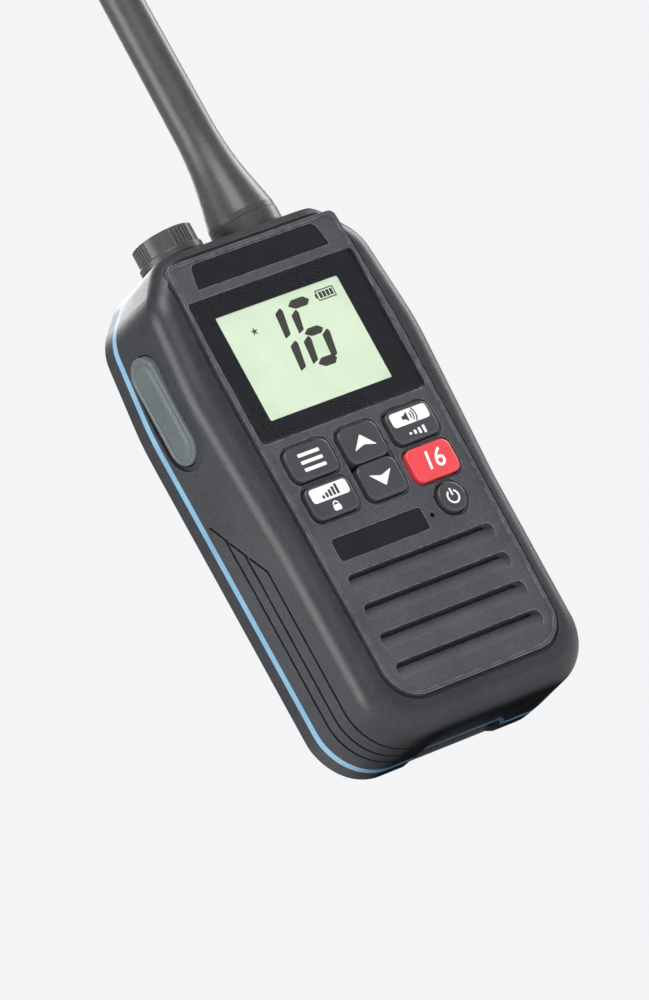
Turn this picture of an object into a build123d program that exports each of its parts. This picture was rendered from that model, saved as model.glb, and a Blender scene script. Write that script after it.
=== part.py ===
from build123d import *
import os
from math import atan2, cos, degrees, hypot, pi, radians, sin

# Handheld marine radio. Millimetres, +X right and -Y towards the user, +Z up.
# The seam between the two case shells lies at Y = 0 while the parts are built.
# ORIGIN_SHIFT then centres the outer box on the Z axis.

# ---------------------------------------------------------------- case shells
SEAM_HALF = 31.0            # half width of the case at the seam, where it is widest
FOOT_TUCK = 0.6             # the seam is this much narrower below the screen
WIDEST_DRAFT = 1.1          # narrowing of the front shell beside the screen
WAIST_DRAFT = 3.3           # the same beside the keys
FOOT_DRAFT = 3.2            # the same at the bottom
WAIST_Z = 45.0
WIDEST_Z = 80.0
TOP_Z = 109.2               # flat top of the case
SHOULDER_DROP = 8.2         # the sides turn in this far below the top
SHOULDER_INSET = 2.4        # narrowing of the seam at the shoulder
SHOULDER_DRAFT = 3.0        # narrowing of the front shell at the shoulder
TOP_INSET = 12.0            # narrowing of the seam at the top
TOP_OVERRUN = 0.6           # the outline runs past the flat top before it is cut
FRONT_TOP_OVERRUN = 2.1
FRONT_DEPTH = 17.3          # seam to the front face
CROWN_RADIUS = 4.5          # round edge of the front face
CORNER_RADIUS = 12.0        # lower corners seen from the front
SHOULDER_RADIUS = 11.0
WAIST_BEND = 100.0          # soft bends of the sides
WIDEST_BEND = 60.0
TOP_RADIUS = 10.0
WALL = 1.9
FRONT_WALL = 3.0
SEAL_WIDTH = 1.8            # coloured sealing ring that shows between the shells
SEAL_HEIGHT = 3.0
REAR_STRAIGHT = 5.0         # the rear shell's sides run straight this far behind the seam
BACK_DEPTH = 18.4           # seam to the flat back
BACK_DRAFT = 10.0           # the back is this much narrower than the seam
BACK_INSET = 6.0            # how far the back is lifted above the bottom
BACK_TOP_INSET = 4.5        # how far the back ends below the top
BACK_CORNER_LOSS = 4.0      # lower corners are this much tighter at the back
BACK_SHOULDER_LOSS = 2.0
BACK_RADIUS = 5.0
BACK_WALL = 1.8
FOOT_GAP_HALF = 12.0        # half width of the recess between the two feet
FOOT_GAP_HEIGHT = 1.0

# --------------------------------------------------------------- front panel
PANEL_PROUD = 0.7           # panel stands this far out of the case
PANEL_THICKNESS = 2.2
PANEL_MID_LAND = 6.8        # case that shows beside the panel, at the screen
PANEL_FOOT_LAND = 5.4       # the same at the bottom
PANEL_TOP_TAPER = 1.1
PANEL_LOW_Z = 7.4
PANEL_MID_Z = 82.0          # height at which the panel is widest
PANEL_TOP_LAND = 2.4        # case that shows above the panel
PANEL_CORNER = 7.5
PANEL_TOP_CORNER = 1.6
PANEL_SIDE_RADIUS = 80.0    # soft bend of the panel's sides beside the screen
PANEL_FIT = 0.15
BEAD_WIDTH = 0.75           # raised rim of the panel
BEAD_HEIGHT = 0.25
GROOVE_WIDTH = 0.7          # groove in the case round the panel
GROOVE_DEPTH = 0.5
CUT_OVER = 1.0              # cuts run this far past the material

# ------------------------------------------------------- plates on the panel
NAME_PLATE_DROP = 3.9       # centre of the plate below the panel's top
NAME_PLATE_LAND = 5.6       # panel that shows beside the plate at its top
NAME_PLATE_SPLAY = 0.9      # the plate is this much wider at its foot
NAME_PLATE_HEIGHT = 5.2
NAME_PLATE_CHAMFER = 0.9
MODEL_PLATE_X = -6.5
MODEL_PLATE_WIDTH = 23.4
MODEL_PLATE_Z = 40.7
MODEL_PLATE_HEIGHT = 4.8
MODEL_PLATE_CORNER = 0.8
PLATE_THICKNESS = 0.45
PLATE_SINK = 0.2
PLATE_FIT = 0.08

# -------------------------------------------------------------------- screen
SCREEN_DROP = 20.9          # centre of the screen below the name plate
LENS_LAND = 1.4             # panel that shows beside the lens
LENS_HEIGHT = 32.2
LENS_CORNER = 1.2
LENS_THICKNESS = 1.0
LENS_SINK = 0.25            # lens lies below the panel's face
MASK_THICKNESS = 0.2
LENS_FIT = 0.1
VIEW_X = -0.4               # the display is set a little to the left
VIEW_WIDTH = 32.2
VIEW_HEIGHT = 23.6
VIEW_CORNER = 0.4
GLASS_BORDER = 2.5          # glass hidden behind the mask on each side
GLASS_THICKNESS = 1.8
GLASS_FIT = 0.1
LIGHT_THICKNESS = 1.8
LIGHT_BORDER = 0.3
HOLDER_WALL = 1.4
HOLDER_LEDGE = 3.0
HOLDER_CORNER = 1.0
OPENING_FIT = 0.15
OPENING_SPACE = 0.5
LEDGE_CORNER = 1.5

# ---------------------------------------------------------------------- keys
KEY_LAND = 3.25             # panel that shows beside the outer keys
KEY_SPACE = 2.6             # space between the columns
KEY_ROW_HIGH = 59.6
KEY_ROW_LOW = 50.9
KEY_HEIGHT = 7.3
KEY_CORNER = 1.9
ARROW_WIDTH = 10.0
ARROW_HEIGHT = 7.9
POWER_Z = 42.6
POWER_RADIUS = 3.3
KEY_PROUD = 0.7             # keys stand this far out of the panel
KEY_GAP = 0.3
KEY_TRAVEL = 0.6
KEY_RECESS = 0.45           # shallow recess in the panel round each key
KEY_RECESS_RIM = 0.55
KEY_LIP = 0.6               # flange that holds a key behind the panel
KEY_LIP_THICKNESS = 0.6
KEY_FLANGE_CORNER = 0.8
KEY_STEM_RADIUS = 1.5
KEY_STEM_GAP = 0.15         # free play between stem and switch
KEY_DOME = 0.35             # rounding of a key's top edge
MAT_THICKNESS = 0.8
MAT_BORDER = 5.2
MAT_INSET = 0.3
MAT_FIT = 0.2

# ------------------------------------------------------------- speaker slots
SLOT_COUNT = 4
SLOT_PITCH = 6.65
SLOT_TOP_Z = 35.3           # upper edge of the highest slot
SLOT_LAND = 3.2             # panel that shows beside the slots
SLOT_HEIGHT = 3.6
SLOT_DEPTH = 1.6
SLOT_CORNER = 1.5
SLOT_MOUTH = 0.9            # open height at the top of each slot
SLOT_MOUTH_INSET = 1.2
SLOT_RUNOUT = 0.05
MEMBRANE_BORDER = 0.5
MEMBRANE_THICKNESS = 0.3
SPEAKER_Z = 21.4
SPEAKER_RADIUS = 15.6
SPEAKER_RIM = 1.6
SPEAKER_RIM_DEPTH = 1.2
SPEAKER_DEPTH = 6.4
SPEAKER_WALL = 1.0
CONE_PROFILE = ((0.0, 2.0), (0.3, 1.0), (0.33, 2.6), (0.78, 1.2), (0.88, 0.4), (0.92, 0.3), (1.0, 0.6))
CONE_THICKNESS = 0.35
CONE_FIT = 0.1
MAGNET_RADIUS = 8.0
MAGNET_SEAT = 1.5
MAGNET_DEPTH = 3.6
MIC_SPACE = 2.0             # from the model plate to the microphone hole
MIC_RADIUS = 2.0
MIC_LENGTH = 1.6
MIC_BOOT_WALL = 0.8
MIC_HOLE_RADIUS = 0.6

# ------------------------------------------------------------------ PTT pad
PTT_Z = 82.4
PTT_DEPTH = 5.45            # pad centre in front of the seam
PTT_HEIGHT = 24.0
PTT_WIDTH = 8.7
PTT_SINK = 0.25             # pad face inside the widest point of the case
PTT_THICKNESS = 2.0
PTT_GAP = 0.3
PTT_TRAVEL = 0.8
PTT_PLAY = 0.1
PTT_DISH_RIM = 1.6          # shallow dish round the pad
PTT_DISH_SHIFT = 1.1        # the dish lies this far in front of the pad
PTT_DISH_DEPTH = 0.85
PTT_RIM_STEP = 0.35         # the pad's edge lies below its raised oval
PTT_RIM_WIDTH = 0.8
PTT_OVAL_INSET = 1.5
PTT_OVAL_DEPTH = 0.15
PTT_STEM_RADIUS = 1.8
PTT_BED_DEPTH = 3.75        # pad face to the inner face of the thick wall behind it
PTT_BED_RIM = 1.6
PTT_SWITCH_PROUD = 0.9      # plunger stands into the thick wall
PTT_SWITCH_HALF = 2.2
PTT_PLUNGER_RADIUS = 1.2
PTT_PLUNGER_LENGTH = 0.6
PTT_SWITCH_DEPTH = 2.0
PTT_BOARD_THICKNESS = 0.8
PTT_BOARD_HALF = 9.0
PTT_BOARD_REACH = 4.0       # the small board runs this far behind the pad's centre

# ------------------------------------------------------------------- antenna
TOP_FITTING_X = 10.15       # antenna on +X, jack on -X
TOP_FITTING_DEPTH = 5.6     # both in front of the seam
ANTENNA_BOSS_RADIUS = 7.6
ANTENNA_BOSS_HEIGHT = 1.3
ANTENNA_COLLAR_RADIUS = 7.4
ANTENNA_COLLAR_HEIGHT = 2.9
ANTENNA_FOOT_INSET = 0.1
ANTENNA_FOOT_HEIGHT = 1.2
ANTENNA_FLARE_HEIGHT = 23.5
FLARE_PROFILE = ((1.0, 0.0), (0.63, 0.23), (0.29, 0.46), (0.0, 1.0))    # shares of the spread and the height
FLARE_LEAN = (-0.2, 1.0)    # direction in which the flare leaves the foot
ANTENNA_SHAFT_RADIUS = 4.35
ANTENNA_TIP_RADIUS = 3.7
ANTENNA_TIP_Z = 240.0
ANTENNA_STUD_RADIUS = 3.0
ANTENNA_STUD_LENGTH = 5.7   # length of stud that stands in the socket
ANTENNA_STUD_FIT = 0.08
ANTENNA_FLANGE_RADIUS = 4.2
ANTENNA_FLANGE_HEIGHT = 2.4
ANTENNA_CORE_RADIUS = 1.2
ANTENNA_CORE_END = 15.0     # the wire ends this far below the tip
ANTENNA_SOCKET_RADIUS = 4.4
ANTENNA_SOCKET_DROP = 0.6   # socket ends below the collar's top
ANTENNA_SOCKET_REACH = 9.0  # socket runs this far below the top of the case
ANTENNA_SOCKET_FLOOR = 1.4
NUT_RADIUS = 5.4            # half its width across flats, clear of the sealing ring
ANTENNA_NUT_HEIGHT = 2.2
FITTING_GAP = 0.15
WASHER_WIDTH = 1.0
WASHER_HEIGHT = 0.75
WASHER_FIT = 0.1
WASHER_LIFT = 0.03
ANTENNA_WASHER_RADIUS = 5.55
CAP_WASHER_RADIUS = 5.8

# -------------------------------------------------------- jack and screw cap
JACK_BOSS_RADIUS = 6.9
JACK_BOSS_HEIGHT = 1.25
JACK_NECK_RADIUS = 4.8
JACK_NECK_HEIGHT = 4.8
JACK_BORE_RADIUS = 3.0
JACK_REACH = 8.0
JACK_FLOOR = 1.2
JACK_NUT_HEIGHT = 2.0
JACK_CORE_HEIGHT = 3.0
JACK_PIN_COUNT = 4
JACK_PIN_RADIUS = 0.3
JACK_PIN_CIRCLE = 1.4
JACK_PIN_TOP = 6.5
CAP_FLANGE_RADIUS = 7.0
CAP_FLANGE_HEIGHT = 1.5
CAP_FLANGE_EDGE = 0.4
CAP_GRIP_RADIUS = 6.6
CAP_GRIP_HEIGHT = 4.0
CAP_GRIP_EDGE = 0.8
CAP_BORE_FIT = 0.25
CAP_ROOF_GAP = 0.3
CAP_RIB_RADIUS = 0.28
CAP_RIB_GROUPS = 4
CAP_RIBS_PER_GROUP = 6
CAP_RIB_STEP = 7.0          # degrees between ribs

# ------------------------------------------------------- boards and chassis
BOARD_FRONT = 11.8          # board face in front of the seam
BOARD_THICKNESS = 1.6
BOARD_LOW_Z = 39.8
BOARD_STEP_Z = 60.4
BOARD_TOP_LAND = 10.7       # top of the case to the board
BOARD_WIDE_LAND = 5.8       # seam half width to the board's wide part
BOARD_NARROW_LAND = 9.1
POST_TOP_INSET = 2.9
POST_LOW_Z = 43.1
POST_WIDE_LAND = 8.0
POST_NARROW_LAND = 11.1
POST_RADIUS = 1.9
POST_ROOT = 0.5
BOARD_SCREW_RADIUS = 0.95
BOARD_HOLE_FIT = 0.15
BOARD_SCREW_HEAD = 1.8
BOARD_SCREW_HEAD_HEIGHT = 1.2
BOARD_SCREW_SOCKET = 0.6
BOARD_SCREW_REACH = 1.9     # screw's tip in front of the board
BOARD_SCREW_SPACE = 0.3
CHASSIS_FRONT = 5.7
CHASSIS_THICKNESS = 1.8
CHASSIS_BORDER = 0.4
CHASSIS_LEG_RADIUS = 2.4
CHASSIS_LEG_BORDER = 0.2
CHASSIS_WINDOWS = (9.0, 14.0)
CHASSIS_WINDOW_X = 12.0
CHASSIS_WINDOW_HEIGHTS = (56.0, 76.0)
CHASSIS_WINDOW_CORNER = 2.0
CHASSIS_NOTCH_SPACE = 0.4
SHIELD_X = 6.0
SHIELD_Z = 75.0
SHIELD_SIZE = (24.0, 30.0)
SHIELD_HEIGHT = 3.4
SHIELD_WALL = 0.3
CHIPS = (                   # centre X, centre Z, width, length, height
    (-14.0, 66.0, 8.0, 8.0, 1.2),
    (-15.5, 84.0, 7.0, 12.0, 2.4),
    (-9.0, 50.0, 10.0, 8.0, 1.0),
    (7.0, 49.0, 10.0, 8.0, 1.4),
    (16.0, 51.5, 4.0, 7.0, 2.2),
)
DOME_RADIUS = 2.4
DOME_HEIGHT = 0.6

# ---------------------------------------------------------------- fasteners
CASE_SCREW_LOW_Z = 9.4
CASE_SCREW_LOW_LAND = 8.4   # seam half width to the lower screws
CASE_SCREW_TOP_DROP = 7.6
CASE_SCREW_TOP_LAND = 10.4
CASE_SCREW_RADIUS = 1.2
CASE_SCREW_HEAD_RADIUS = 2.1
CASE_SCREW_HEAD_HEIGHT = 1.5
CASE_SCREW_SEAT = 7.4       # head seat behind the seam
CASE_SCREW_REACH = 6.8      # tip in front of the seam
CASE_BOSS_RADIUS = 2.7
CASE_BOSS_FIT = 0.2
REAR_BOSS_RADIUS = 3.3
DRIVE_SLOT = (2.4, 0.5)
DRIVE_DEPTH = 0.7
SCREW_FIT = 0.05
PILOT_SPACE = 0.5           # free depth beyond a screw's tip

# ------------------------------------------------------------- battery pack
PACK_LAND = 4.0             # back of the case that shows beside the pack
PACK_LOW_Z = 9.0
PACK_HIGH_Z = 74.0
PACK_FRONT = 5.6            # pack face behind the seam
PACK_WALL = 1.3
PACK_FIT = 0.25
PACK_CORNER = 2.5
PACK_EDGE = 0.5
PACK_LIP = 0.9
PACK_LIP_WALL = 1.0
POCKET_WALL = 1.4
CELL_BORDER = 1.2           # pack wall to the cell, at its sides
CELL_HEIGHT = 52.0
CELL_THICKNESS = 9.2
CELL_CORNER = 2.0
CELL_EDGE = 1.2
CELL_SPACE = 1.5
PACK_BOARD_HALF = 14.0
PACK_BOARD_HEIGHT = 7.0
PACK_BOARD_THICKNESS = 1.0
PACK_BOARD_SPACE = 1.2
PACK_BOARD_DROP = 3.9       # board centre below the inside of the pack's top
CONTACT_PITCH = 5.0
CONTACT_COUNT = 4
CONTACT_Z = 66.0
PAD_HALF = (1.2, 2.5)
PAD_THICKNESS = 0.3
PAD_FIT = 0.1
SPRING_HALF = (0.9, 2.0)
SPRING_TAIL = 4.0
SPRING_TAIL_THICKNESS = 0.8
SPRING_SLOT_FIT = 0.2
SPRING_REACH = 2.8          # pack face to the contact block
BLOCK_THICKNESS = 1.4
BLOCK_BORDER = 3.0
BLOCK_HALF_HEIGHT = 5.0
CHARGE_RISE = 3.6           # charging pads above the pack's lower edge
CHARGE_X = 8.0
CHARGE_RADIUS = 2.0
CHARGE_SINK = 0.1
THUMB_WIDTH = 12.0
THUMB_HEIGHT = 4.0
THUMB_DEPTH = 3.0
THUMB_GAP = 0.4
THUMB_TAB = 1.2
THUMB_TAB_END = 1.0

# ------------------------------------------------------------------ belt clip
CLIP_GAP = 4.6              # space for the belt
CLIP_THICKNESS = 1.5
CLIP_WIDTH = 17.0
CLIP_PIVOT_Z = 62.0
CLIP_LOW_Z = 14.0
CLIP_HIGH_Z = 70.0
CLIP_TOE_HEIGHT = 6.0
CLIP_TOE_THICKNESS = 1.6
CLIP_TOE_GAP = 0.3
CLIP_BEND_RADII = (3.0, 2.0)
CLIP_EDGE = 0.5
CLIP_PIN_RADIUS = 0.75
CLIP_KNUCKLE_WALL = 0.6
CLIP_KNUCKLE_ROOT = 0.3
CLIP_BASE_THICKNESS = 1.6
CLIP_BASE_BELOW = 8.0
CLIP_CORNER = 2.5
CLIP_EAR = 2.2
CLIP_EAR_RADIUS = 2.4
CLIP_EAR_FIT = 0.3
CLIP_EAR_NOTCH = 0.8
CLIP_SPRING_HALF = 3.4
CLIP_SPRING_SPACE = 4.0
CLIP_COIL_TURNS = 6.5
CLIP_COIL_PITCH = 0.8
CLIP_COIL_RADIUS = 1.1
CLIP_WIRE_RADIUS = 0.28
CLIP_LEG = 5.0
CLIP_SHORT_LEG = 1.9
CLIP_SCREW_X = 5.0
CLIP_SCREW_DROP = 5.0
CLIP_SCREW_RADIUS = 0.8
CLIP_SCREW_HEAD_RADIUS = 1.6
CLIP_SCREW_HEAD_HEIGHT = 0.8
CLIP_HOLE_FIT = 0.15

# -------------------------------------------------------------- lanyard eye
EYE_RADIUS = 1.3
EYE_LAND = 2.8              # seam half width to the eye's centre
EYE_DEPTH = 8.8
EYE_DROP = 7.0              # centre of the eye below the shoulder
EYE_THICKNESS = 2.6
EYE_OUTER = 2.6
EYE_ROOT = 4.8              # eye's centre to its inner flange
EYE_FLANGE = 1.2
EYE_FIT = 0.05
EYE_SCOOP = 7.0             # half length of the hollow beside the eye
EYE_SCOOP_FIT = 0.2

# ------------------------------------------------------------- side grooves
SIDE_GROOVES = (3.4, 6.0, 9.1)      # depths in front of the seam
CREST_HIGH = (1.4, 57.8)            # depth and height of the sloping line's ends
CREST_LOW = (9.1, 43.7)
SIDE_GROOVE_WIDTH = 0.6
SIDE_GROOVE_DEPTH = 0.5

# ------------------------------------------------------------------- derived
SHOULDER_Z = TOP_Z - SHOULDER_DROP
BACK_HALF = SEAM_HALF - BACK_DRAFT
PANEL_MID_HALF = SEAM_HALF - WIDEST_DRAFT - PANEL_MID_LAND
PANEL_FOOT_HALF = SEAM_HALF - FOOT_DRAFT - PANEL_FOOT_LAND
PANEL_TOP_HALF = PANEL_MID_HALF - PANEL_TOP_TAPER
PANEL_HIGH_Z = TOP_Z - PANEL_TOP_LAND
PANEL_FACE = -(FRONT_DEPTH + PANEL_PROUD)
PANEL_FLOOR = PANEL_FACE + BEAD_HEIGHT
PANEL_BACK = PANEL_FACE + PANEL_THICKNESS
LEDGE_BACK = -FRONT_DEPTH + FRONT_WALL
NAME_PLATE_Z = PANEL_HIGH_Z - NAME_PLATE_DROP
NAME_PLATE_HALF = PANEL_TOP_HALF - NAME_PLATE_LAND
SCREEN_Z = NAME_PLATE_Z - SCREEN_DROP
LENS_WIDTH = 2 * (PANEL_MID_HALF - LENS_LAND)
GLASS_WIDTH = VIEW_WIDTH + 2 * GLASS_BORDER
GLASS_HEIGHT = VIEW_HEIGHT + 2 * GLASS_BORDER
LENS_FACE = PANEL_FACE + LENS_SINK
MASK_FACE = LENS_FACE + LENS_THICKNESS
GLASS_FACE = MASK_FACE + MASK_THICKNESS
LIGHT_FACE = GLASS_FACE + GLASS_THICKNESS
LIGHT_BACK = LIGHT_FACE + LIGHT_THICKNESS
KEY_FACE = PANEL_FACE - KEY_PROUD
KEY_ROW_HALF = PANEL_FOOT_HALF - KEY_LAND
KEY_WIDTH = KEY_ROW_HALF - ARROW_WIDTH / 2 - KEY_SPACE
KEY_COLUMN = KEY_ROW_HALF - KEY_WIDTH / 2
KEY_FLANGE_FRONT = PANEL_BACK + SCREW_FIT
SLOT_WIDTH = 2 * (PANEL_FOOT_HALF - SLOT_LAND)
SLOTS_HEIGHT = (SLOT_COUNT - 1) * SLOT_PITCH + SLOT_HEIGHT
SLOTS_Z = SLOT_TOP_Z - SLOTS_HEIGHT / 2
BOARD_FACE = -BOARD_FRONT
BOARD_BACK = BOARD_FACE + BOARD_THICKNESS
BOARD_HIGH_Z = TOP_Z - BOARD_TOP_LAND
BOARD_WIDE_HALF = SEAM_HALF - BOARD_WIDE_LAND
BOARD_NARROW_HALF = SEAM_HALF - BOARD_NARROW_LAND
BOARD_POSTS = ((SEAM_HALF - POST_WIDE_LAND, BOARD_HIGH_Z - POST_TOP_INSET),
               (SEAM_HALF - POST_NARROW_LAND, POST_LOW_Z))
CASE_SCREW_PLACES = ((SEAM_HALF - CASE_SCREW_LOW_LAND, CASE_SCREW_LOW_Z),
                     (SEAM_HALF - CASE_SCREW_TOP_LAND, TOP_Z - CASE_SCREW_TOP_DROP))
PTT_FACE = SEAM_HALF - PTT_SINK
PTT_BED = PTT_FACE - PTT_BED_DEPTH
PTT_SWITCH_FACE = PTT_BED - PTT_SWITCH_PROUD
ANTENNA_BOSS_Z = TOP_Z + ANTENNA_BOSS_HEIGHT
ANTENNA_COLLAR_TOP = ANTENNA_BOSS_Z + ANTENNA_COLLAR_HEIGHT
ANTENNA_BASE = ANTENNA_COLLAR_TOP + FITTING_GAP
SOCKET_TOP = ANTENNA_COLLAR_TOP - ANTENNA_SOCKET_DROP
JACK_BOSS_Z = TOP_Z + JACK_BOSS_HEIGHT
JACK_NECK_TOP = TOP_Z + JACK_NECK_HEIGHT
CAP_BASE = JACK_BOSS_Z + FITTING_GAP
ANTENNA_PLACE = (TOP_FITTING_X, -TOP_FITTING_DEPTH)
JACK_PLACE = (-TOP_FITTING_X, -TOP_FITTING_DEPTH)
PACK_HALF = BACK_HALF - PACK_LAND
CONTACT_LOW_Z = PACK_LOW_Z + CHARGE_RISE
CLIP_FACE = BACK_DEPTH + CLIP_GAP
CLIP_BACK = CLIP_FACE + CLIP_THICKNESS
CLIP_BASE_BACK = BACK_DEPTH + CLIP_BASE_THICKNESS
CLIP_PIVOT_Y = (CLIP_BASE_BACK + CLIP_FACE) / 2
EYE_X = SEAM_HALF - EYE_LAND
EYE_ROOT_X = EYE_X - EYE_ROOT
EYE_Z = SHOULDER_Z - EYE_DROP
ORIGIN_SHIFT = -(CLIP_BACK + KEY_FACE) / 2
FAR = 200.0


# ------------------------------------------------------------------- helpers
def facing(y):
    """Plane square to Y whose sketch axes are X and Z."""
    return Plane(origin=(0, y, 0), x_dir=(1, 0, 0), z_dir=(0, -1, 0))


def plate(outline, front, back):
    """Solid of an outline in X and Z between two depths."""
    return extrude(facing(back) * outline, amount=back - front)


def block(x_range, y_range, z_range):
    """Box between three pairs of limits."""
    sizes = [high - low for low, high in (x_range, y_range, z_range)]
    middle = [(high + low) / 2 for low, high in (x_range, y_range, z_range)]
    return Pos(*middle) * Box(*sizes)


def window(x, z, width, height, corner):
    """Rounded rectangle in X and Z."""
    return Pos(x, z) * RectangleRounded(width, height, corner)


def post(place, radius, low, high):
    """Upright cylinder at an (x, y) place."""
    cylinder = Cylinder(radius, high - low, align=(Align.CENTER, Align.CENTER, Align.MIN))
    return Pos(place[0], place[1], low) * cylinder


def ring(place, outer, inner, low, high):
    """Upright tube at an (x, y) place."""
    return post(place, outer, low, high) - post(place, inner, low - 1, high + 1)


def peg(x, z, radius, front, back):
    """Cylinder along Y."""
    return plate(Pos(x, z) * Circle(radius), front, back)


def mirrored(shape):
    """A shape together with its copy across the centre plane."""
    return shape + mirror(shape, about=Plane.YZ)


def both_sides(places):
    """Each (x, z) place and its mirror image."""
    return [(side * x, z) for x, z in places for side in (-1, 1)]


def shell_outline(y, shrink=0.0):
    """Outline of the case at depth y from the seam, drawn smaller by shrink."""
    tucked = SEAM_HALF - FOOT_TUCK
    seam = [(tucked, 0.0), (tucked + FOOT_TUCK / 2, WAIST_Z), (SEAM_HALF, WIDEST_Z),
            (SEAM_HALF - SHOULDER_INSET, SHOULDER_Z), (SEAM_HALF - TOP_INSET, TOP_Z + TOP_OVERRUN)]
    front = [(SEAM_HALF - FOOT_DRAFT, 0.0), (SEAM_HALF - WAIST_DRAFT, WAIST_Z),
             (SEAM_HALF - WIDEST_DRAFT, WIDEST_Z), (SEAM_HALF - SHOULDER_DRAFT, SHOULDER_Z),
             (SEAM_HALF - TOP_INSET + 1.0, TOP_Z + FRONT_TOP_OVERRUN)]
    back = [(BACK_HALF - FOOT_TUCK, BACK_INSET), (BACK_HALF - FOOT_TUCK / 2, WAIST_Z), (BACK_HALF, WIDEST_Z),
            (BACK_HALF - SHOULDER_INSET, SHOULDER_Z - BACK_TOP_INSET),
            (BACK_HALF - TOP_INSET + BACK_TOP_INSET, TOP_Z - BACK_TOP_INSET)]
    if y <= 0:
        t, ends = -y / FRONT_DEPTH, front
        loss = (0.0, 0.0)
    else:
        t, ends = max(0.0, (y - REAR_STRAIGHT) / (BACK_DEPTH - REAR_STRAIGHT)), back
        loss = (BACK_CORNER_LOSS * t, BACK_SHOULDER_LOSS * t)
    corners = [(a[0] + (b[0] - a[0]) * t, a[1] + (b[1] - a[1]) * t) for a, b in zip(seam, ends)]
    lifts = (shrink, 0.0, 0.0, -shrink / 2, -shrink)
    right = [(x - shrink, z + lift) for (x, z), lift in zip(corners, lifts)]
    left = [(-x, z) for x, z in reversed(right)]
    radii = [CORNER_RADIUS - shrink - loss[0], WAIST_BEND, WIDEST_BEND,
             SHOULDER_RADIUS - shrink - loss[1], TOP_RADIUS - loss[1]]
    return make_face(FilletPolyline(*right, *left, radius=radii + radii[::-1], close=True))


def shell_body(*depths, shrink=0.0):
    """Solid through the case outlines at some depths, cut off at the flat top."""
    body = loft([facing(y) * shell_outline(y, shrink) for y in depths], ruled=True)
    return body & block((-FAR, FAR), (-FAR, FAR), (-CUT_OVER, TOP_Z - shrink))


def panel_outline(grow=0.0):
    """Outline of the front panel, drawn larger by grow."""
    right = [(PANEL_FOOT_HALF + grow, PANEL_LOW_Z - grow),
             (PANEL_MID_HALF + grow, PANEL_MID_Z),
             (PANEL_TOP_HALF + grow, PANEL_HIGH_Z + grow)]
    left = [(-x, z) for x, z in reversed(right)]
    radii = [PANEL_CORNER + grow, PANEL_SIDE_RADIUS, PANEL_TOP_CORNER + grow]
    return make_face(FilletPolyline(*right, *left, radius=radii + radii[::-1], close=True))


def foot_gap(front, back):
    """Cut that leaves two feet at the bottom of the case."""
    return block((-FOOT_GAP_HALF, FOOT_GAP_HALF), (front, back), (-CUT_OVER, FOOT_GAP_HEIGHT))


# Each key: name, x, z, width, height. The power key is round.
SIDE_KEYS = (
    ("key_menu", -KEY_COLUMN, KEY_ROW_HIGH),
    ("key_volume", KEY_COLUMN, KEY_ROW_HIGH),
    ("key_output", -KEY_COLUMN, KEY_ROW_LOW),
    ("key_channel_16", KEY_COLUMN, KEY_ROW_LOW),
)
ARROW_MIDDLE = (KEY_ROW_HIGH + KEY_ROW_LOW) / 2
ARROW_KEYS = (
    ("key_up", 0.0, ARROW_MIDDLE + ARROW_HEIGHT / 2 + KEY_GAP / 2),
    ("key_down", 0.0, ARROW_MIDDLE - ARROW_HEIGHT / 2 - KEY_GAP / 2),
)
KEY_PLACES = [(x, z) for _, x, z in SIDE_KEYS + ARROW_KEYS] + [(KEY_COLUMN, POWER_Z)]


# --------------------------------------------------------------- case pieces
def make_front_case():
    """Front shell with its panel recess, screw bosses and top fittings."""
    outer = loft([facing(y) * shell_outline(y) for y in (0, -FRONT_DEPTH)], ruled=True)
    front_edges = outer.faces().sort_by(Axis.Y)[0].edges()
    outer = fillet(front_edges, CROWN_RADIUS)
    outer &= block((-FAR, FAR), (-FAR, FAR), (-1, TOP_Z))
    inner = shell_body(0, LEDGE_BACK, shrink=WALL)
    root = LEDGE_BACK - POST_ROOT
    bosses = [peg(x, z, CASE_BOSS_RADIUS, root, 0) for x, z in both_sides(CASE_SCREW_PLACES)]
    case = outer - inner
    case += [peg(x, z, POST_RADIUS, root, BOARD_FACE) for x, z in both_sides(BOARD_POSTS)]
    case += [boss & outer for boss in bosses]
    case += ptt_bed() & outer
    case += post(ANTENNA_PLACE, ANTENNA_BOSS_RADIUS, TOP_Z - POST_ROOT, ANTENNA_BOSS_Z)
    case += post(JACK_PLACE, JACK_BOSS_RADIUS, TOP_Z - POST_ROOT, JACK_BOSS_Z)
    case -= plate(panel_outline(PANEL_FIT), -FAR, PANEL_BACK)
    case -= plate(panel_outline(PANEL_FIT + GROOVE_WIDTH), -FAR, -FRONT_DEPTH + GROOVE_DEPTH)
    case -= ledge_openings()
    below_roof = TOP_Z - WALL - CUT_OVER
    case -= post(ANTENNA_PLACE, ANTENNA_SOCKET_RADIUS + SCREW_FIT, below_roof, FAR)
    case -= post(JACK_PLACE, JACK_NECK_RADIUS + SCREW_FIT, below_roof, FAR)
    pilot = CASE_SCREW_RADIUS + SCREW_FIT
    tip = -CASE_SCREW_REACH - PILOT_SPACE
    case -= [peg(x, z, pilot, tip, CUT_OVER) for x, z in both_sides(CASE_SCREW_PLACES)]
    pilot = BOARD_SCREW_RADIUS + SCREW_FIT
    tip = board_screw_tip() - BOARD_SCREW_SPACE
    case -= [peg(x, z, pilot, tip, BOARD_FACE + CUT_OVER) for x, z in both_sides(BOARD_POSTS)]
    case -= ptt_pocket()
    case -= side_grooves()
    case -= block((-FAR, FAR), (0, FAR), (-CUT_OVER, TOP_Z))
    return case - foot_gap(-FRONT_DEPTH + CROWN_RADIUS, CUT_OVER)


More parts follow.
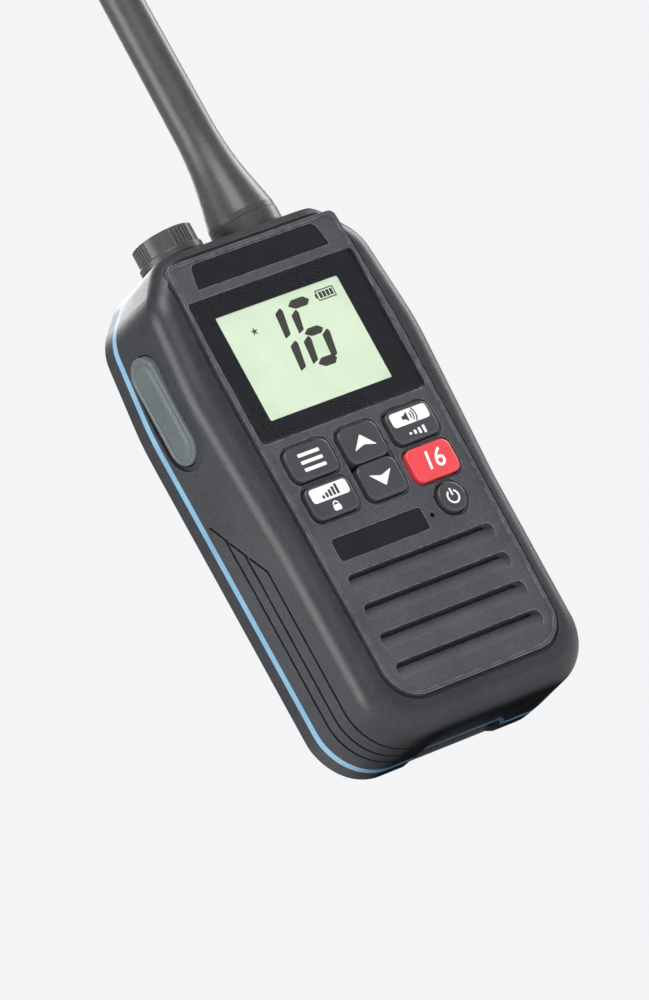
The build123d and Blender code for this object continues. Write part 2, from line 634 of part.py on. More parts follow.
def ledge_openings():
    """Openings behind the panel for the screen, the keys and the sound."""
    reach = (PANEL_BACK - CUT_OVER, LEDGE_BACK + CUT_OVER)
    holder_width = GLASS_WIDTH + 2 * (HOLDER_WALL + OPENING_FIT)
    holder_height = GLASS_HEIGHT + 2 * (HOLDER_WALL + OPENING_FIT)
    flange = KEY_GAP + KEY_LIP + OPENING_SPACE
    keys_height = 2 * ARROW_HEIGHT + KEY_GAP + 2 * OPENING_SPACE
    power = 2 * (POWER_RADIUS + flange)
    cuts = plate(window(VIEW_X, SCREEN_Z, holder_width, holder_height, HOLDER_CORNER), *reach)
    cuts += plate(window(0, ARROW_MIDDLE, 2 * (KEY_ROW_HALF + flange), keys_height, LEDGE_CORNER), *reach)
    cuts += plate(window(KEY_COLUMN, POWER_Z, power, power, LEDGE_CORNER), *reach)
    cuts += plate(sound_field(MEMBRANE_BORDER + OPENING_FIT), *reach)
    cuts += peg(*mic_place(), MIC_HOLE_RADIUS, *reach)
    return cuts


def ptt_outline(grow=0.0):
    """Pill outline of the push-to-talk pad, standing upright in Y and Z."""
    return Rot(0, 0, 90) * SlotOverall(PTT_HEIGHT + 2 * grow, PTT_WIDTH + 2 * grow)


def ptt_slab(outline, outer_x, inner_x, depth=PTT_DEPTH):
    """Solid of a pad outline between two distances left of the centre plane."""
    plane = Plane(origin=(-outer_x, -depth, PTT_Z), x_dir=(0, -1, 0), z_dir=(1, 0, 0))
    return extrude(plane * outline, amount=outer_x - inner_x)


def ptt_bed():
    """Thick wall that the pad sits in."""
    return ptt_slab(ptt_outline(PTT_BED_RIM), SEAM_HALF, PTT_BED)


def ptt_pocket():
    """Shallow dish round the pad, the pad's pocket and the stem's hole."""
    outside = SEAM_HALF + CUT_OVER
    dish_depth = PTT_DEPTH + PTT_DISH_SHIFT
    floor = PTT_FACE - PTT_THICKNESS - PTT_TRAVEL - PTT_PLAY
    cut = ptt_slab(ptt_outline(PTT_DISH_RIM), outside, PTT_FACE - PTT_DISH_DEPTH, dish_depth)
    cut += ptt_slab(ptt_outline(PTT_GAP), outside, floor)
    return cut + ptt_slab(Circle(PTT_STEM_RADIUS + PTT_GAP), outside, PTT_BED - CUT_OVER)


def side_grooves():
    """Grip lines down both flanks, which start on one sloping line."""
    (near, high), (far, low) = CREST_HIGH, CREST_LOW
    slope = (high - low) / (far - near)
    core = shell_body(CUT_OVER, -FRONT_DEPTH, shrink=SIDE_GROOVE_DEPTH)
    cuts = Part()
    for depth in SIDE_GROOVES:
        upper_z = high - (depth - near) * slope
        band = (-depth - SIDE_GROOVE_WIDTH / 2, -depth + SIDE_GROOVE_WIDTH / 2)
        cuts += block((FOOT_GAP_HALF + depth / 2, FAR), band, (-CUT_OVER, upper_z))
    length = hypot(far - near, high - low)
    tilt = degrees(atan2(far - near, high - low))
    bar = Box(SEAM_HALF, SIDE_GROOVE_WIDTH, length + SIDE_GROOVE_WIDTH)
    cuts += Pos(SEAM_HALF, -(near + far) / 2, (high + low) / 2) * Rot(-tilt, 0, 0) * bar
    return mirrored(cuts - core)


def make_case_seal():
    """Coloured ring squeezed between the shells."""
    through = (-CUT_OVER, SEAL_WIDTH + CUT_OVER)
    seal = plate(shell_outline(0), 0, SEAL_WIDTH) - plate(shell_outline(0, SEAL_HEIGHT), *through)
    seal &= block((-FAR, FAR), through, (-CUT_OVER, TOP_Z))
    for x, z in both_sides(CASE_SCREW_PLACES):
        seal -= peg(x, z, CASE_BOSS_RADIUS + CASE_BOSS_FIT, *through)
    return seal - foot_gap(*through)


def rear_outer():
    """Outside of the rear shell, before anything is cut."""
    slope = loft([facing(y) * shell_outline(y) for y in (REAR_STRAIGHT, BACK_DEPTH)], ruled=True)
    slope = fillet(slope.faces().sort_by(Axis.Y)[-1].edges(), BACK_RADIUS)
    body = plate(shell_outline(REAR_STRAIGHT), SEAL_WIDTH, REAR_STRAIGHT) + slope
    return body & block((-FAR, FAR), (0, FAR), (-CUT_OVER, TOP_Z))


def pack_box(grow, front, back):
    """Upright box of the battery pack's outline."""
    height = PACK_HIGH_Z - PACK_LOW_Z
    middle_z = (PACK_HIGH_Z + PACK_LOW_Z) / 2
    outline = window(0, middle_z, 2 * (PACK_HALF + grow), height + 2 * grow, PACK_CORNER + grow)
    return plate(outline, front, back)


def make_rear_case():
    """Rear shell with the battery pocket and the seat of the lanyard eye."""
    outer = rear_outer()
    inner = shell_body(SEAL_WIDTH, REAR_STRAIGHT, BACK_DEPTH - BACK_WALL, shrink=BACK_WALL)
    case = outer - inner
    pocket_wall = PACK_FIT + POCKET_WALL
    case += pack_box(pocket_wall, PACK_FRONT - pocket_wall, BACK_DEPTH) & outer
    places = both_sides(CASE_SCREW_PLACES)
    case += [peg(x, z, REAR_BOSS_RADIUS, SEAL_WIDTH, BACK_DEPTH) & outer for x, z in places]
    behind = BACK_DEPTH + CUT_OVER
    case -= pack_box(PACK_FIT, PACK_FRONT - PACK_FIT, behind)
    case -= [peg(x, z, CASE_SCREW_RADIUS + CASE_BOSS_FIT, 0, BACK_DEPTH) for x, z in places]
    case -= [peg(x, z, CASE_SCREW_HEAD_RADIUS + CASE_BOSS_FIT, CASE_SCREW_SEAT, behind) for x, z in places]
    case -= lanyard_lug(EYE_FIT)
    case -= post((EYE_X, EYE_DEPTH), EYE_RADIUS + EYE_SCOOP_FIT, EYE_Z - EYE_SCOOP, EYE_Z + EYE_SCOOP)
    case -= [contact_slot(x) for x in contact_places()]
    case -= block((-THUMB_WIDTH / 2, THUMB_WIDTH / 2), (BACK_DEPTH - THUMB_DEPTH, behind),
                  (PACK_LOW_Z - THUMB_HEIGHT, PACK_LOW_Z))
    return case - foot_gap(0, BACK_DEPTH)


def lanyard_lug(grow=0.0):
    """Ear that stands out of the right flank, with its root and inner flange."""
    low, high = EYE_Z - EYE_THICKNESS / 2 - grow, EYE_Z + EYE_THICKNESS / 2 + grow
    half = EYE_OUTER + grow
    ear = post((EYE_X, EYE_DEPTH), half, low, high)
    ear += block((EYE_ROOT_X, EYE_X), (EYE_DEPTH - half, EYE_DEPTH + half), (low, high))
    flange = block((EYE_ROOT_X - EYE_FLANGE, EYE_ROOT_X), (EYE_DEPTH - half, EYE_DEPTH + half),
                   (low - EYE_FLANGE, high + EYE_FLANGE))
    return ear + flange


def make_lanyard_eye():
    """Insert with the upright hole for a wrist strap."""
    return lanyard_lug() - post((EYE_X, EYE_DEPTH), EYE_RADIUS, 0, FAR)


def contact_places():
    """X of each battery contact."""
    return [(i - (CONTACT_COUNT - 1) / 2) * CONTACT_PITCH for i in range(CONTACT_COUNT)]


def contact_slot(x):
    """Slot in the pocket floor for one sprung contact."""
    half, height = SPRING_HALF[0] + SPRING_SLOT_FIT, SPRING_HALF[1] + SPRING_SLOT_FIT
    return block((x - half, x + half), (0, PACK_FRONT), (CONTACT_Z - height, CONTACT_Z + height))


# --------------------------------------------------------------- front panel
def make_front_panel():
    """Inlaid panel with the lens pocket, key openings and sound slots."""
    front, behind = PANEL_FACE - CUT_OVER, PANEL_BACK + CUT_OVER
    panel = plate(panel_outline(), PANEL_FACE, PANEL_BACK)
    panel -= plate(panel_outline(-BEAD_WIDTH), front, PANEL_FLOOR)
    lens_pocket = window(0, SCREEN_Z, LENS_WIDTH + 2 * LENS_FIT, LENS_HEIGHT + 2 * LENS_FIT, LENS_CORNER)
    panel -= plate(lens_pocket, front, GLASS_FACE)
    glass_width, glass_height = GLASS_WIDTH + 4 * GLASS_FIT, GLASS_HEIGHT + 4 * GLASS_FIT
    panel -= plate(window(VIEW_X, SCREEN_Z, glass_width, glass_height, HOLDER_CORNER / 2), front, behind)
    for _, x, z in SIDE_KEYS:
        panel -= key_opening(x, z, KEY_WIDTH, KEY_HEIGHT)
    panel -= key_opening(0, ARROW_MIDDLE, ARROW_WIDTH, 2 * ARROW_HEIGHT + KEY_GAP)
    dish = POWER_RADIUS + KEY_GAP + KEY_RECESS_RIM
    panel -= peg(KEY_COLUMN, POWER_Z, POWER_RADIUS + KEY_GAP, front, behind)
    panel -= peg(KEY_COLUMN, POWER_Z, dish, front, PANEL_FLOOR + KEY_RECESS)
    sink = PANEL_FLOOR + PLATE_SINK + PLATE_THICKNESS
    panel -= plate(name_plate_outline(PLATE_FIT), front, sink)
    panel -= plate(model_plate_outline(PLATE_FIT), front, sink)
    panel -= sound_slots()
    return panel - peg(*mic_place(), MIC_HOLE_RADIUS, front, behind)


def key_opening(x, z, width, height):
    """Opening for a key with a shallow recess round it."""
    gap, rim = KEY_GAP, KEY_GAP + KEY_RECESS_RIM
    hole = window(x, z, width + 2 * gap, height + 2 * gap, KEY_CORNER + gap)
    dish = window(x, z, width + 2 * rim, height + 2 * rim, KEY_CORNER + rim)
    cut = plate(hole, PANEL_FACE - CUT_OVER, PANEL_BACK + CUT_OVER)
    return cut + plate(dish, PANEL_FACE - CUT_OVER, PANEL_FLOOR + KEY_RECESS)


def name_plate_outline(grow=0.0):
    """Long plate above the screen, wider at its foot, with its top corners cut off."""
    top, foot = NAME_PLATE_HALF + grow, NAME_PLATE_HALF + NAME_PLATE_SPLAY + grow
    high = NAME_PLATE_HEIGHT / 2 + grow
    right = [(foot, -high), (top, high - NAME_PLATE_CHAMFER), (top - NAME_PLATE_CHAMFER, high)]
    left = [(-x, z) for x, z in reversed(right)]
    return Pos(0, NAME_PLATE_Z) * make_face(Polyline(*right, *left, close=True))


def model_plate_outline(grow=0.0):
    """Small plate between the keys and the sound slots."""
    return window(MODEL_PLATE_X, MODEL_PLATE_Z, MODEL_PLATE_WIDTH + 2 * grow,
                  MODEL_PLATE_HEIGHT + 2 * grow, MODEL_PLATE_CORNER + grow)


def sound_field(grow=0.0):
    """Rounded outline of all sound slots together."""
    return window(0, SLOTS_Z, SLOT_WIDTH + 2 * grow, SLOTS_HEIGHT + 2 * grow, SLOT_CORNER + grow)


def sound_slots():
    """Scoops that are deepest and open at their upper edge."""
    front, behind = PANEL_FACE - CUT_OVER, PANEL_BACK + CUT_OVER
    cuts = Part()
    for i in range(SLOT_COUNT):
        top = SLOT_TOP_Z - i * SLOT_PITCH
        low = top - SLOT_HEIGHT
        deepest, runout = PANEL_FLOOR + SLOT_DEPTH, PANEL_FLOOR - SLOT_RUNOUT
        points = [(front, top), (deepest, top), (runout, low), (front, low)]
        wedge = extrude(Plane.YZ * make_face(Polyline(*points, close=True)), amount=SLOT_WIDTH / 2, both=True)
        pill = plate(window(0, (top + low) / 2, SLOT_WIDTH, SLOT_HEIGHT, SLOT_CORNER), front, behind)
        mouth_width = SLOT_WIDTH - 2 * SLOT_MOUTH_INSET
        mouth = window(0, top - SLOT_MOUTH / 2, mouth_width, SLOT_MOUTH, SLOT_MOUTH * 0.45)
        cuts += (wedge & pill) + plate(mouth, PANEL_FACE, behind)
    return cuts


def make_name_plate():
    """Bare plate above the screen."""
    front = PANEL_FLOOR + PLATE_SINK
    return plate(name_plate_outline(), front, front + PLATE_THICKNESS)


def make_model_plate():
    """Bare plate below the keys."""
    front = PANEL_FLOOR + PLATE_SINK
    return plate(model_plate_outline(), front, front + PLATE_THICKNESS)


# -------------------------------------------------------------------- screen
def make_lens():
    """Clear window over the screen."""
    return plate(window(0, SCREEN_Z, LENS_WIDTH, LENS_HEIGHT, LENS_CORNER), LENS_FACE, MASK_FACE)


def make_lens_mask():
    """Black border behind the clear window."""
    sheet = window(0, SCREEN_Z, LENS_WIDTH, LENS_HEIGHT, LENS_CORNER)
    sheet -= window(VIEW_X, SCREEN_Z, VIEW_WIDTH, VIEW_HEIGHT, VIEW_CORNER)
    return plate(sheet, MASK_FACE, GLASS_FACE)


def make_screen_glass():
    """Liquid crystal glass."""
    return plate(window(VIEW_X, SCREEN_Z, GLASS_WIDTH, GLASS_HEIGHT, VIEW_CORNER), GLASS_FACE, LIGHT_FACE)


def make_screen_light():
    """Light guide behind the glass."""
    width, height = GLASS_WIDTH - 2 * LIGHT_BORDER, GLASS_HEIGHT - 2 * LIGHT_BORDER
    return plate(window(VIEW_X, SCREEN_Z, width, height, VIEW_CORNER), LIGHT_FACE, LIGHT_BACK)


def make_screen_holder():
    """Tray that carries the glass and its light guide."""
    outer = holder_window(HOLDER_WALL)
    tray = plate(outer, PANEL_BACK, BOARD_FACE)
    tray -= plate(holder_window(GLASS_FIT), PANEL_BACK - CUT_OVER, LIGHT_BACK)
    return tray - plate(holder_window(-HOLDER_LEDGE), PANEL_BACK - CUT_OVER, FAR)


def holder_window(grow):
    """Outline of the liquid crystal glass, drawn larger by grow."""
    return window(VIEW_X, SCREEN_Z, GLASS_WIDTH + 2 * grow, GLASS_HEIGHT + 2 * grow, HOLDER_CORNER)


# ---------------------------------------------------------------------- keys
def make_key(x, z, width, height):
    """One key: cap, holding flange and stem."""
    cap = plate(window(x, z, width, height, KEY_CORNER), KEY_FACE, KEY_FLANGE_FRONT)
    cap = fillet(cap.faces().sort_by(Axis.Y)[0].edges(), KEY_DOME)
    return cap + key_back(x, z, window(x, z, width + 2 * (KEY_GAP + KEY_LIP), height, KEY_FLANGE_CORNER))


def key_back(x, z, flange):
    """Flange behind the panel and the stem that presses the switch."""
    flange_back = KEY_FLANGE_FRONT + KEY_LIP_THICKNESS
    stem_end = BOARD_FACE - DOME_HEIGHT - KEY_TRAVEL - KEY_STEM_GAP
    return plate(flange, KEY_FLANGE_FRONT, flange_back) + peg(x, z, KEY_STEM_RADIUS, flange_back, stem_end)


def make_power_key():
    """Round power key."""
    cap = peg(KEY_COLUMN, POWER_Z, POWER_RADIUS, KEY_FACE, KEY_FLANGE_FRONT)
    cap = fillet(cap.faces().sort_by(Axis.Y)[0].edges(), KEY_DOME)
    flange = Pos(KEY_COLUMN, POWER_Z) * Circle(POWER_RADIUS + KEY_GAP + KEY_LIP)
    return cap + key_back(KEY_COLUMN, POWER_Z, flange)


def make_keypad_mat():
    """Rubber sheet behind the ledge that seals the keys."""
    low, high = POWER_Z - MAT_BORDER, KEY_ROW_HIGH + MAT_BORDER
    width = 2 * (BOARD_NARROW_HALF - MAT_INSET)
    through = (LEDGE_BACK - CUT_OVER, LEDGE_BACK + MAT_THICKNESS + CUT_OVER)
    outline = window(0, (low + high) / 2, width, high - low, LEDGE_CORNER)
    mat = plate(outline, LEDGE_BACK, LEDGE_BACK + MAT_THICKNESS)
    mat -= [peg(x, z, KEY_STEM_RADIUS + MAT_FIT, *through) for x, z in KEY_PLACES]
    mat -= [peg(x, z, POST_RADIUS + MAT_FIT, *through) for x, z in both_sides(BOARD_POSTS)]
    return mat - peg(*mic_place(), MIC_HOLE_RADIUS, *through)


def make_key_switches():
    """Snap domes on the main board."""
    return [peg(x, z, DOME_RADIUS, BOARD_FACE - DOME_HEIGHT, BOARD_FACE) for x, z in KEY_PLACES]


# --------------------------------------------------------------- electronics
def board_outline(shrink=0.0):
    """Stepped outline of the main board."""
    wide, narrow = BOARD_WIDE_HALF - shrink, BOARD_NARROW_HALF - shrink
    low, step, high = BOARD_LOW_Z + shrink, BOARD_STEP_Z + shrink, BOARD_HIGH_Z - shrink
    right = [(narrow, low), (narrow, step), (wide, step), (wide, high)]
    left = [(-x, z) for x, z in reversed(right)]
    return make_face(Polyline(*right, *left, close=True))


def board_screw_holes(radius, front, back):
    """Clearance holes for the board screws."""
    return [peg(x, z, radius, front, back) for x, z in both_sides(BOARD_POSTS)]


def make_main_board():
    """Main circuit board."""
    board = plate(board_outline(), BOARD_FACE, BOARD_BACK)
    hole = BOARD_SCREW_RADIUS + BOARD_HOLE_FIT
    return board - board_screw_holes(hole, BOARD_FACE - CUT_OVER, BOARD_BACK + CUT_OVER)


def make_board_chips():
    """Larger parts soldered to the back of the board."""
    return [Pos(x, BOARD_BACK + height / 2, z) * Box(width, height, length)
            for x, z, width, length, height in CHIPS]


def make_rf_shield():
    """Folded tin over the transmitter."""
    width, length = SHIELD_SIZE
    back = BOARD_BACK + SHIELD_HEIGHT
    outer = block((SHIELD_X - width / 2, SHIELD_X + width / 2), (BOARD_BACK, back),
                  (SHIELD_Z - length / 2, SHIELD_Z + length / 2))
    reach_x, reach_z = width / 2 - SHIELD_WALL, length / 2 - SHIELD_WALL
    inside = (BOARD_BACK - CUT_OVER, back - SHIELD_WALL)
    return outer - block((SHIELD_X - reach_x, SHIELD_X + reach_x), inside,
                         (SHIELD_Z - reach_z, SHIELD_Z + reach_z))


def make_chassis():
    """Cast plate on four legs that stiffens the case and takes the heat."""
    front, back = -CHASSIS_FRONT, -CHASSIS_FRONT + CHASSIS_THICKNESS
    through = (front - CUT_OVER, back + CUT_OVER)
    edge = plate(board_outline(CHASSIS_LEG_BORDER), BOARD_BACK, back)
    chassis = plate(board_outline(CHASSIS_BORDER), front, back)
    chassis += [peg(x, z, CHASSIS_LEG_RADIUS, BOARD_BACK, back) & edge for x, z in both_sides(BOARD_POSTS)]
    chassis -= [plate(window(x, z, *CHASSIS_WINDOWS, CHASSIS_WINDOW_CORNER), *through)
                for x in (-CHASSIS_WINDOW_X, CHASSIS_WINDOW_X) for z in CHASSIS_WINDOW_HEIGHTS]
    notch_x = -PTT_SWITCH_FACE + PTT_SWITCH_DEPTH + PTT_BOARD_THICKNESS + CHASSIS_NOTCH_SPACE
    notch_half = PTT_BOARD_HALF + CHASSIS_NOTCH_SPACE
    chassis -= block((-FAR, notch_x), through, (PTT_Z - notch_half, PTT_Z + notch_half))
    return chassis - board_screw_holes(BOARD_SCREW_RADIUS + BOARD_HOLE_FIT, BOARD_BACK - CUT_OVER, through[1])


def board_screw_tip():
    """Depth of the board screws' tips."""
    return BOARD_FACE - BOARD_SCREW_REACH


def make_board_screws():
    """Four screws through chassis and board into the front case."""
    seat = -CHASSIS_FRONT + CHASSIS_THICKNESS
    back = seat + BOARD_SCREW_HEAD_HEIGHT
    screws = []
    for x, z in both_sides(BOARD_POSTS):
        screw = peg(x, z, BOARD_SCREW_RADIUS, board_screw_tip(), seat)
        screw += peg(x, z, BOARD_SCREW_HEAD, seat, back)
        screws.append(screw - peg(x, z, BOARD_SCREW_SOCKET, back - BOARD_SCREW_SOCKET, back + CUT_OVER))
    return screws


def make_speaker_frame():
    """Steel basket of the speaker."""
    back = LEDGE_BACK + SPEAKER_DEPTH
    rim_back = LEDGE_BACK + SPEAKER_RIM_DEPTH
    seat = MAGNET_RADIUS + MAGNET_SEAT
    opening = SPEAKER_RADIUS - SPEAKER_RIM
    rim = peg(0, SPEAKER_Z, SPEAKER_RADIUS, LEDGE_BACK, rim_back)
    rim -= peg(0, SPEAKER_Z, opening, LEDGE_BACK - CUT_OVER, rim_back)
    shell = speaker_cup(SPEAKER_RADIUS - SPEAKER_RIM / 2, seat, rim_back, back)
    return rim + shell - speaker_cup(opening, seat - SPEAKER_WALL, rim_back, back - SPEAKER_WALL)


def speaker_cup(wide, narrow, front, back):
    """Cone frustum on the speaker's axis."""
    rings = [(front, wide), (back, narrow)]
    return loft([facing(y) * (Pos(0, SPEAKER_Z) * Circle(radius)) for y, radius in rings])


def make_speaker_cone():
    """Shallow cone with its roll and dust cap."""
    outer = SPEAKER_RADIUS - SPEAKER_RIM - CONE_FIT
    points = [(outer * share, depth) for share, depth in CONE_PROFILE]
    upper = [(r, -depth) for r, depth in points]
    lower = [(r, -depth - CONE_THICKNESS) for r, depth in reversed(points)]
    profile = make_face(Polyline(*upper, *lower, close=True))
    cone = revolve(Plane.XZ * profile, axis=Axis.Z)
    return Pos(0, LEDGE_BACK, SPEAKER_Z) * Rot(90, 0, 0) * cone


def make_speaker_magnet():
    """Magnet on the back of the basket."""
    back = LEDGE_BACK + SPEAKER_DEPTH
    return peg(0, SPEAKER_Z, MAGNET_RADIUS, back, back + MAGNET_DEPTH)


def make_sound_membrane():
    """Waterproof cloth behind the slots."""
    return plate(sound_field(MEMBRANE_BORDER), PANEL_BACK, PANEL_BACK + MEMBRANE_THICKNESS)


def mic_place():
    """Microphone behind a small hole beside the model plate."""
    return (MODEL_PLATE_X + MODEL_PLATE_WIDTH / 2 + MIC_SPACE, MODEL_PLATE_Z)


def make_microphone():
    """Electret capsule on the board."""
    x, z = mic_place()
    return peg(x, z, MIC_RADIUS, BOARD_FACE - MIC_LENGTH, BOARD_FACE)


def make_mic_boot():
    """Rubber tube that leads sound to the microphone."""
    x, z = mic_place()
    front = LEDGE_BACK + MAT_THICKNESS
    boot = peg(x, z, MIC_RADIUS + MIC_BOOT_WALL, front, BOARD_FACE)
    boot -= peg(x, z, MIC_RADIUS, BOARD_FACE - MIC_LENGTH, BOARD_FACE + CUT_OVER)
    return boot - peg(x, z, MIC_HOLE_RADIUS, front - CUT_OVER, BOARD_FACE)


# ----------------------------------------------------------------------- PTT
def make_ptt_pad():
    """Rubber push-to-talk pad with a raised inner oval."""
    back = PTT_FACE - PTT_THICKNESS
    pad = ptt_slab(ptt_outline(), PTT_FACE - PTT_RIM_STEP, back)
    pad += ptt_slab(ptt_outline(-PTT_RIM_WIDTH), PTT_FACE, back)
    pad -= ptt_slab(ptt_outline(-PTT_OVAL_INSET), PTT_FACE + CUT_OVER, PTT_FACE - PTT_OVAL_DEPTH)
    stem_end = PTT_SWITCH_FACE + PTT_TRAVEL + PTT_PLAY
    return pad + ptt_slab(Circle(PTT_STEM_RADIUS), back, stem_end)


def make_ptt_switch():
    """Side switch that the pad's stem presses."""
    half = PTT_SWITCH_HALF
    front = PTT_SWITCH_FACE - PTT_PLUNGER_LENGTH
    body = block((-front, -PTT_SWITCH_FACE + PTT_SWITCH_DEPTH), (-PTT_DEPTH - half, -PTT_DEPTH + half),
                 (PTT_Z - half, PTT_Z + half))
    return body + ptt_slab(Circle(PTT_PLUNGER_RADIUS), PTT_SWITCH_FACE, front)


def make_ptt_board():
    """Small board that carries the side switch, plugged into the main board."""
    outer = -PTT_SWITCH_FACE + PTT_SWITCH_DEPTH
    return block((outer, outer + PTT_BOARD_THICKNESS), (BOARD_BACK, -PTT_DEPTH + PTT_BOARD_REACH),
                 (PTT_Z - PTT_BOARD_HALF, PTT_Z + PTT_BOARD_HALF))


# ------------------------------------------------------------------- antenna
def make_antenna_collar():
    """Fixed ring that the antenna screws down onto."""
    collar = post(ANTENNA_PLACE, ANTENNA_COLLAR_RADIUS, ANTENNA_BOSS_Z, ANTENNA_COLLAR_TOP)
    return collar - post(ANTENNA_PLACE, ANTENNA_SOCKET_RADIUS + SCREW_FIT, 0, FAR)


def make_antenna_socket():
    """Threaded bush through the top of the case."""
    low = TOP_Z - ANTENNA_SOCKET_REACH
    socket = post(ANTENNA_PLACE, ANTENNA_SOCKET_RADIUS, low, SOCKET_TOP)
    bore = ANTENNA_STUD_RADIUS + ANTENNA_STUD_FIT
    return socket - post(ANTENNA_PLACE, bore, low + ANTENNA_SOCKET_FLOOR, FAR)


def fitting_nut(place, height, bore):
    """Hexagonal nut under the top of the case."""
    nut = extrude(Plane.XY * RegularPolygon(NUT_RADIUS, 6, major_radius=False), amount=height)
    return Pos(place[0], place[1], TOP_Z - WALL - height) * nut - post(place, bore, 0, FAR)


def make_antenna_nut():
    """Nut that clamps the bush from inside."""
    return fitting_nut(ANTENNA_PLACE, ANTENNA_NUT_HEIGHT, ANTENNA_SOCKET_RADIUS + SCREW_FIT)


def make_antenna_mast():
    """Rubber whip: flared base, straight shaft and round tip."""
    foot_radius = ANTENNA_COLLAR_RADIUS - ANTENNA_FOOT_INSET
    foot_top = ANTENNA_BASE + ANTENNA_FOOT_HEIGHT
    flare_top = ANTENNA_BASE + ANTENNA_FLARE_HEIGHT
    tip_z = ANTENNA_TIP_Z - ANTENNA_TIP_RADIUS
    reach = ANTENNA_TIP_RADIUS * sin(pi / 4)
    spread = foot_radius - ANTENNA_SHAFT_RADIUS
    flare_points = [(ANTENNA_SHAFT_RADIUS + spread * share, foot_top + (flare_top - foot_top) * height)
                    for share, height in FLARE_PROFILE]
    outline = Polyline((0, ANTENNA_BASE), (foot_radius, ANTENNA_BASE), (foot_radius, foot_top)).edges()
    outline += Spline(*flare_points, tangents=(FLARE_LEAN, (0, 1))).edges()
    outline += Line((ANTENNA_SHAFT_RADIUS, flare_top), (ANTENNA_TIP_RADIUS, tip_z)).edges()
    outline += ThreePointArc((ANTENNA_TIP_RADIUS, tip_z), (reach, tip_z + reach), (0, ANTENNA_TIP_Z)).edges()
    outline += Line((0, ANTENNA_TIP_Z), (0, ANTENNA_BASE)).edges()
    mast = revolve(Plane.XZ * make_face(outline), axis=Axis.Z)
    mast = Pos(ANTENNA_PLACE[0], ANTENNA_PLACE[1], 0) * mast
    flange_top = ANTENNA_BASE + ANTENNA_FLANGE_HEIGHT + ANTENNA_FOOT_INSET
    mast -= post(ANTENNA_PLACE, ANTENNA_FLANGE_RADIUS + SCREW_FIT, 0, flange_top)
    wire_top = ANTENNA_TIP_Z - ANTENNA_CORE_END + CUT_OVER
    mast -= post(ANTENNA_PLACE, ANTENNA_CORE_RADIUS + SCREW_FIT, 0, wire_top)
    return mast - washer(ANTENNA_PLACE, ANTENNA_WASHER_RADIUS, 0, ANTENNA_BASE + WASHER_HEIGHT, WASHER_FIT)


def washer(place, radius, low, high, grow=0.0):
    """Flat ring round an upright axis, drawn wider by grow."""
    half = WASHER_WIDTH / 2 + grow
    return ring(place, radius + half, radius - half, low, high)


def make_antenna_core():
    """Metal stud and the radiating wire inside the rubber."""
    core = post(ANTENNA_PLACE, ANTENNA_STUD_RADIUS, SOCKET_TOP - ANTENNA_STUD_LENGTH, ANTENNA_BASE)
    core += post(ANTENNA_PLACE, ANTENNA_FLANGE_RADIUS, ANTENNA_BASE, ANTENNA_BASE + ANTENNA_FLANGE_HEIGHT)
    return core + post(ANTENNA_PLACE, ANTENNA_CORE_RADIUS, ANTENNA_BASE, ANTENNA_TIP_Z - ANTENNA_CORE_END)


def make_antenna_seal():
    """Rubber washer in the foot of the antenna."""
    return washer(ANTENNA_PLACE, ANTENNA_WASHER_RADIUS, ANTENNA_COLLAR_TOP + WASHER_LIFT,
                  ANTENNA_BASE + WASHER_HEIGHT - WASHER_FIT)


# ---------------------------------------------------------------------- jack
def make_jack_body():
    """Threaded sleeve of the accessory jack."""
    low = TOP_Z - JACK_REACH
    sleeve = post(JACK_PLACE, JACK_NECK_RADIUS, low, JACK_NECK_TOP)
    return sleeve - post(JACK_PLACE, JACK_BORE_RADIUS, low + JACK_FLOOR, FAR)


def make_jack_nut():
    """Nut that clamps the jack from inside."""
    return fitting_nut(JACK_PLACE, JACK_NUT_HEIGHT, JACK_NECK_RADIUS + SCREW_FIT)


def make_jack_contacts():
    """Insulator with the contact pins inside the jack."""
    low = TOP_Z - JACK_REACH + JACK_FLOOR
    core_top = low + JACK_CORE_HEIGHT
    core = post(JACK_PLACE, JACK_BORE_RADIUS - SCREW_FIT, low, core_top)
    for i in range(JACK_PIN_COUNT):
        turn = 2 * pi * i / JACK_PIN_COUNT
        place = (JACK_PLACE[0] + JACK_PIN_CIRCLE * cos(turn), JACK_PLACE[1] + JACK_PIN_CIRCLE * sin(turn))
        core += post(place, JACK_PIN_RADIUS, core_top - JACK_PIN_RADIUS, low + JACK_PIN_TOP)
    return core


def make_jack_cap():
    """Screw cap with groups of grip ribs."""
    flange_top = CAP_BASE + CAP_FLANGE_HEIGHT
    high = flange_top + CAP_GRIP_HEIGHT
    flange = post(JACK_PLACE, CAP_FLANGE_RADIUS, CAP_BASE, flange_top)
    flange = fillet(flange.faces().sort_by(Axis.Z)[-1].edges(), CAP_FLANGE_EDGE)
    grip = post(JACK_PLACE, CAP_GRIP_RADIUS, flange_top, high)
    for group in range(CAP_RIB_GROUPS):
        for rib in range(CAP_RIBS_PER_GROUP):
            offset = (rib - (CAP_RIBS_PER_GROUP - 1) / 2) * CAP_RIB_STEP
            angle = radians(group * 360 / CAP_RIB_GROUPS + offset)
            reach_x, reach_y = CAP_GRIP_RADIUS * cos(angle), CAP_GRIP_RADIUS * sin(angle)
            grip += post((JACK_PLACE[0] + reach_x, JACK_PLACE[1] + reach_y), CAP_RIB_RADIUS, flange_top, high)
    outline = post(JACK_PLACE, CAP_GRIP_RADIUS + CAP_RIB_RADIUS + SCREW_FIT, CAP_BASE, high)
    outline = fillet(outline.faces().sort_by(Axis.Z)[-1].edges(), CAP_GRIP_EDGE)
    cap = flange + (grip & outline)
    cap -= post(JACK_PLACE, JACK_NECK_RADIUS + CAP_BORE_FIT, 0, JACK_NECK_TOP + CAP_ROOF_GAP)
    return cap - washer(JACK_PLACE, CAP_WASHER_RADIUS, 0, CAP_BASE + WASHER_HEIGHT, WASHER_FIT)


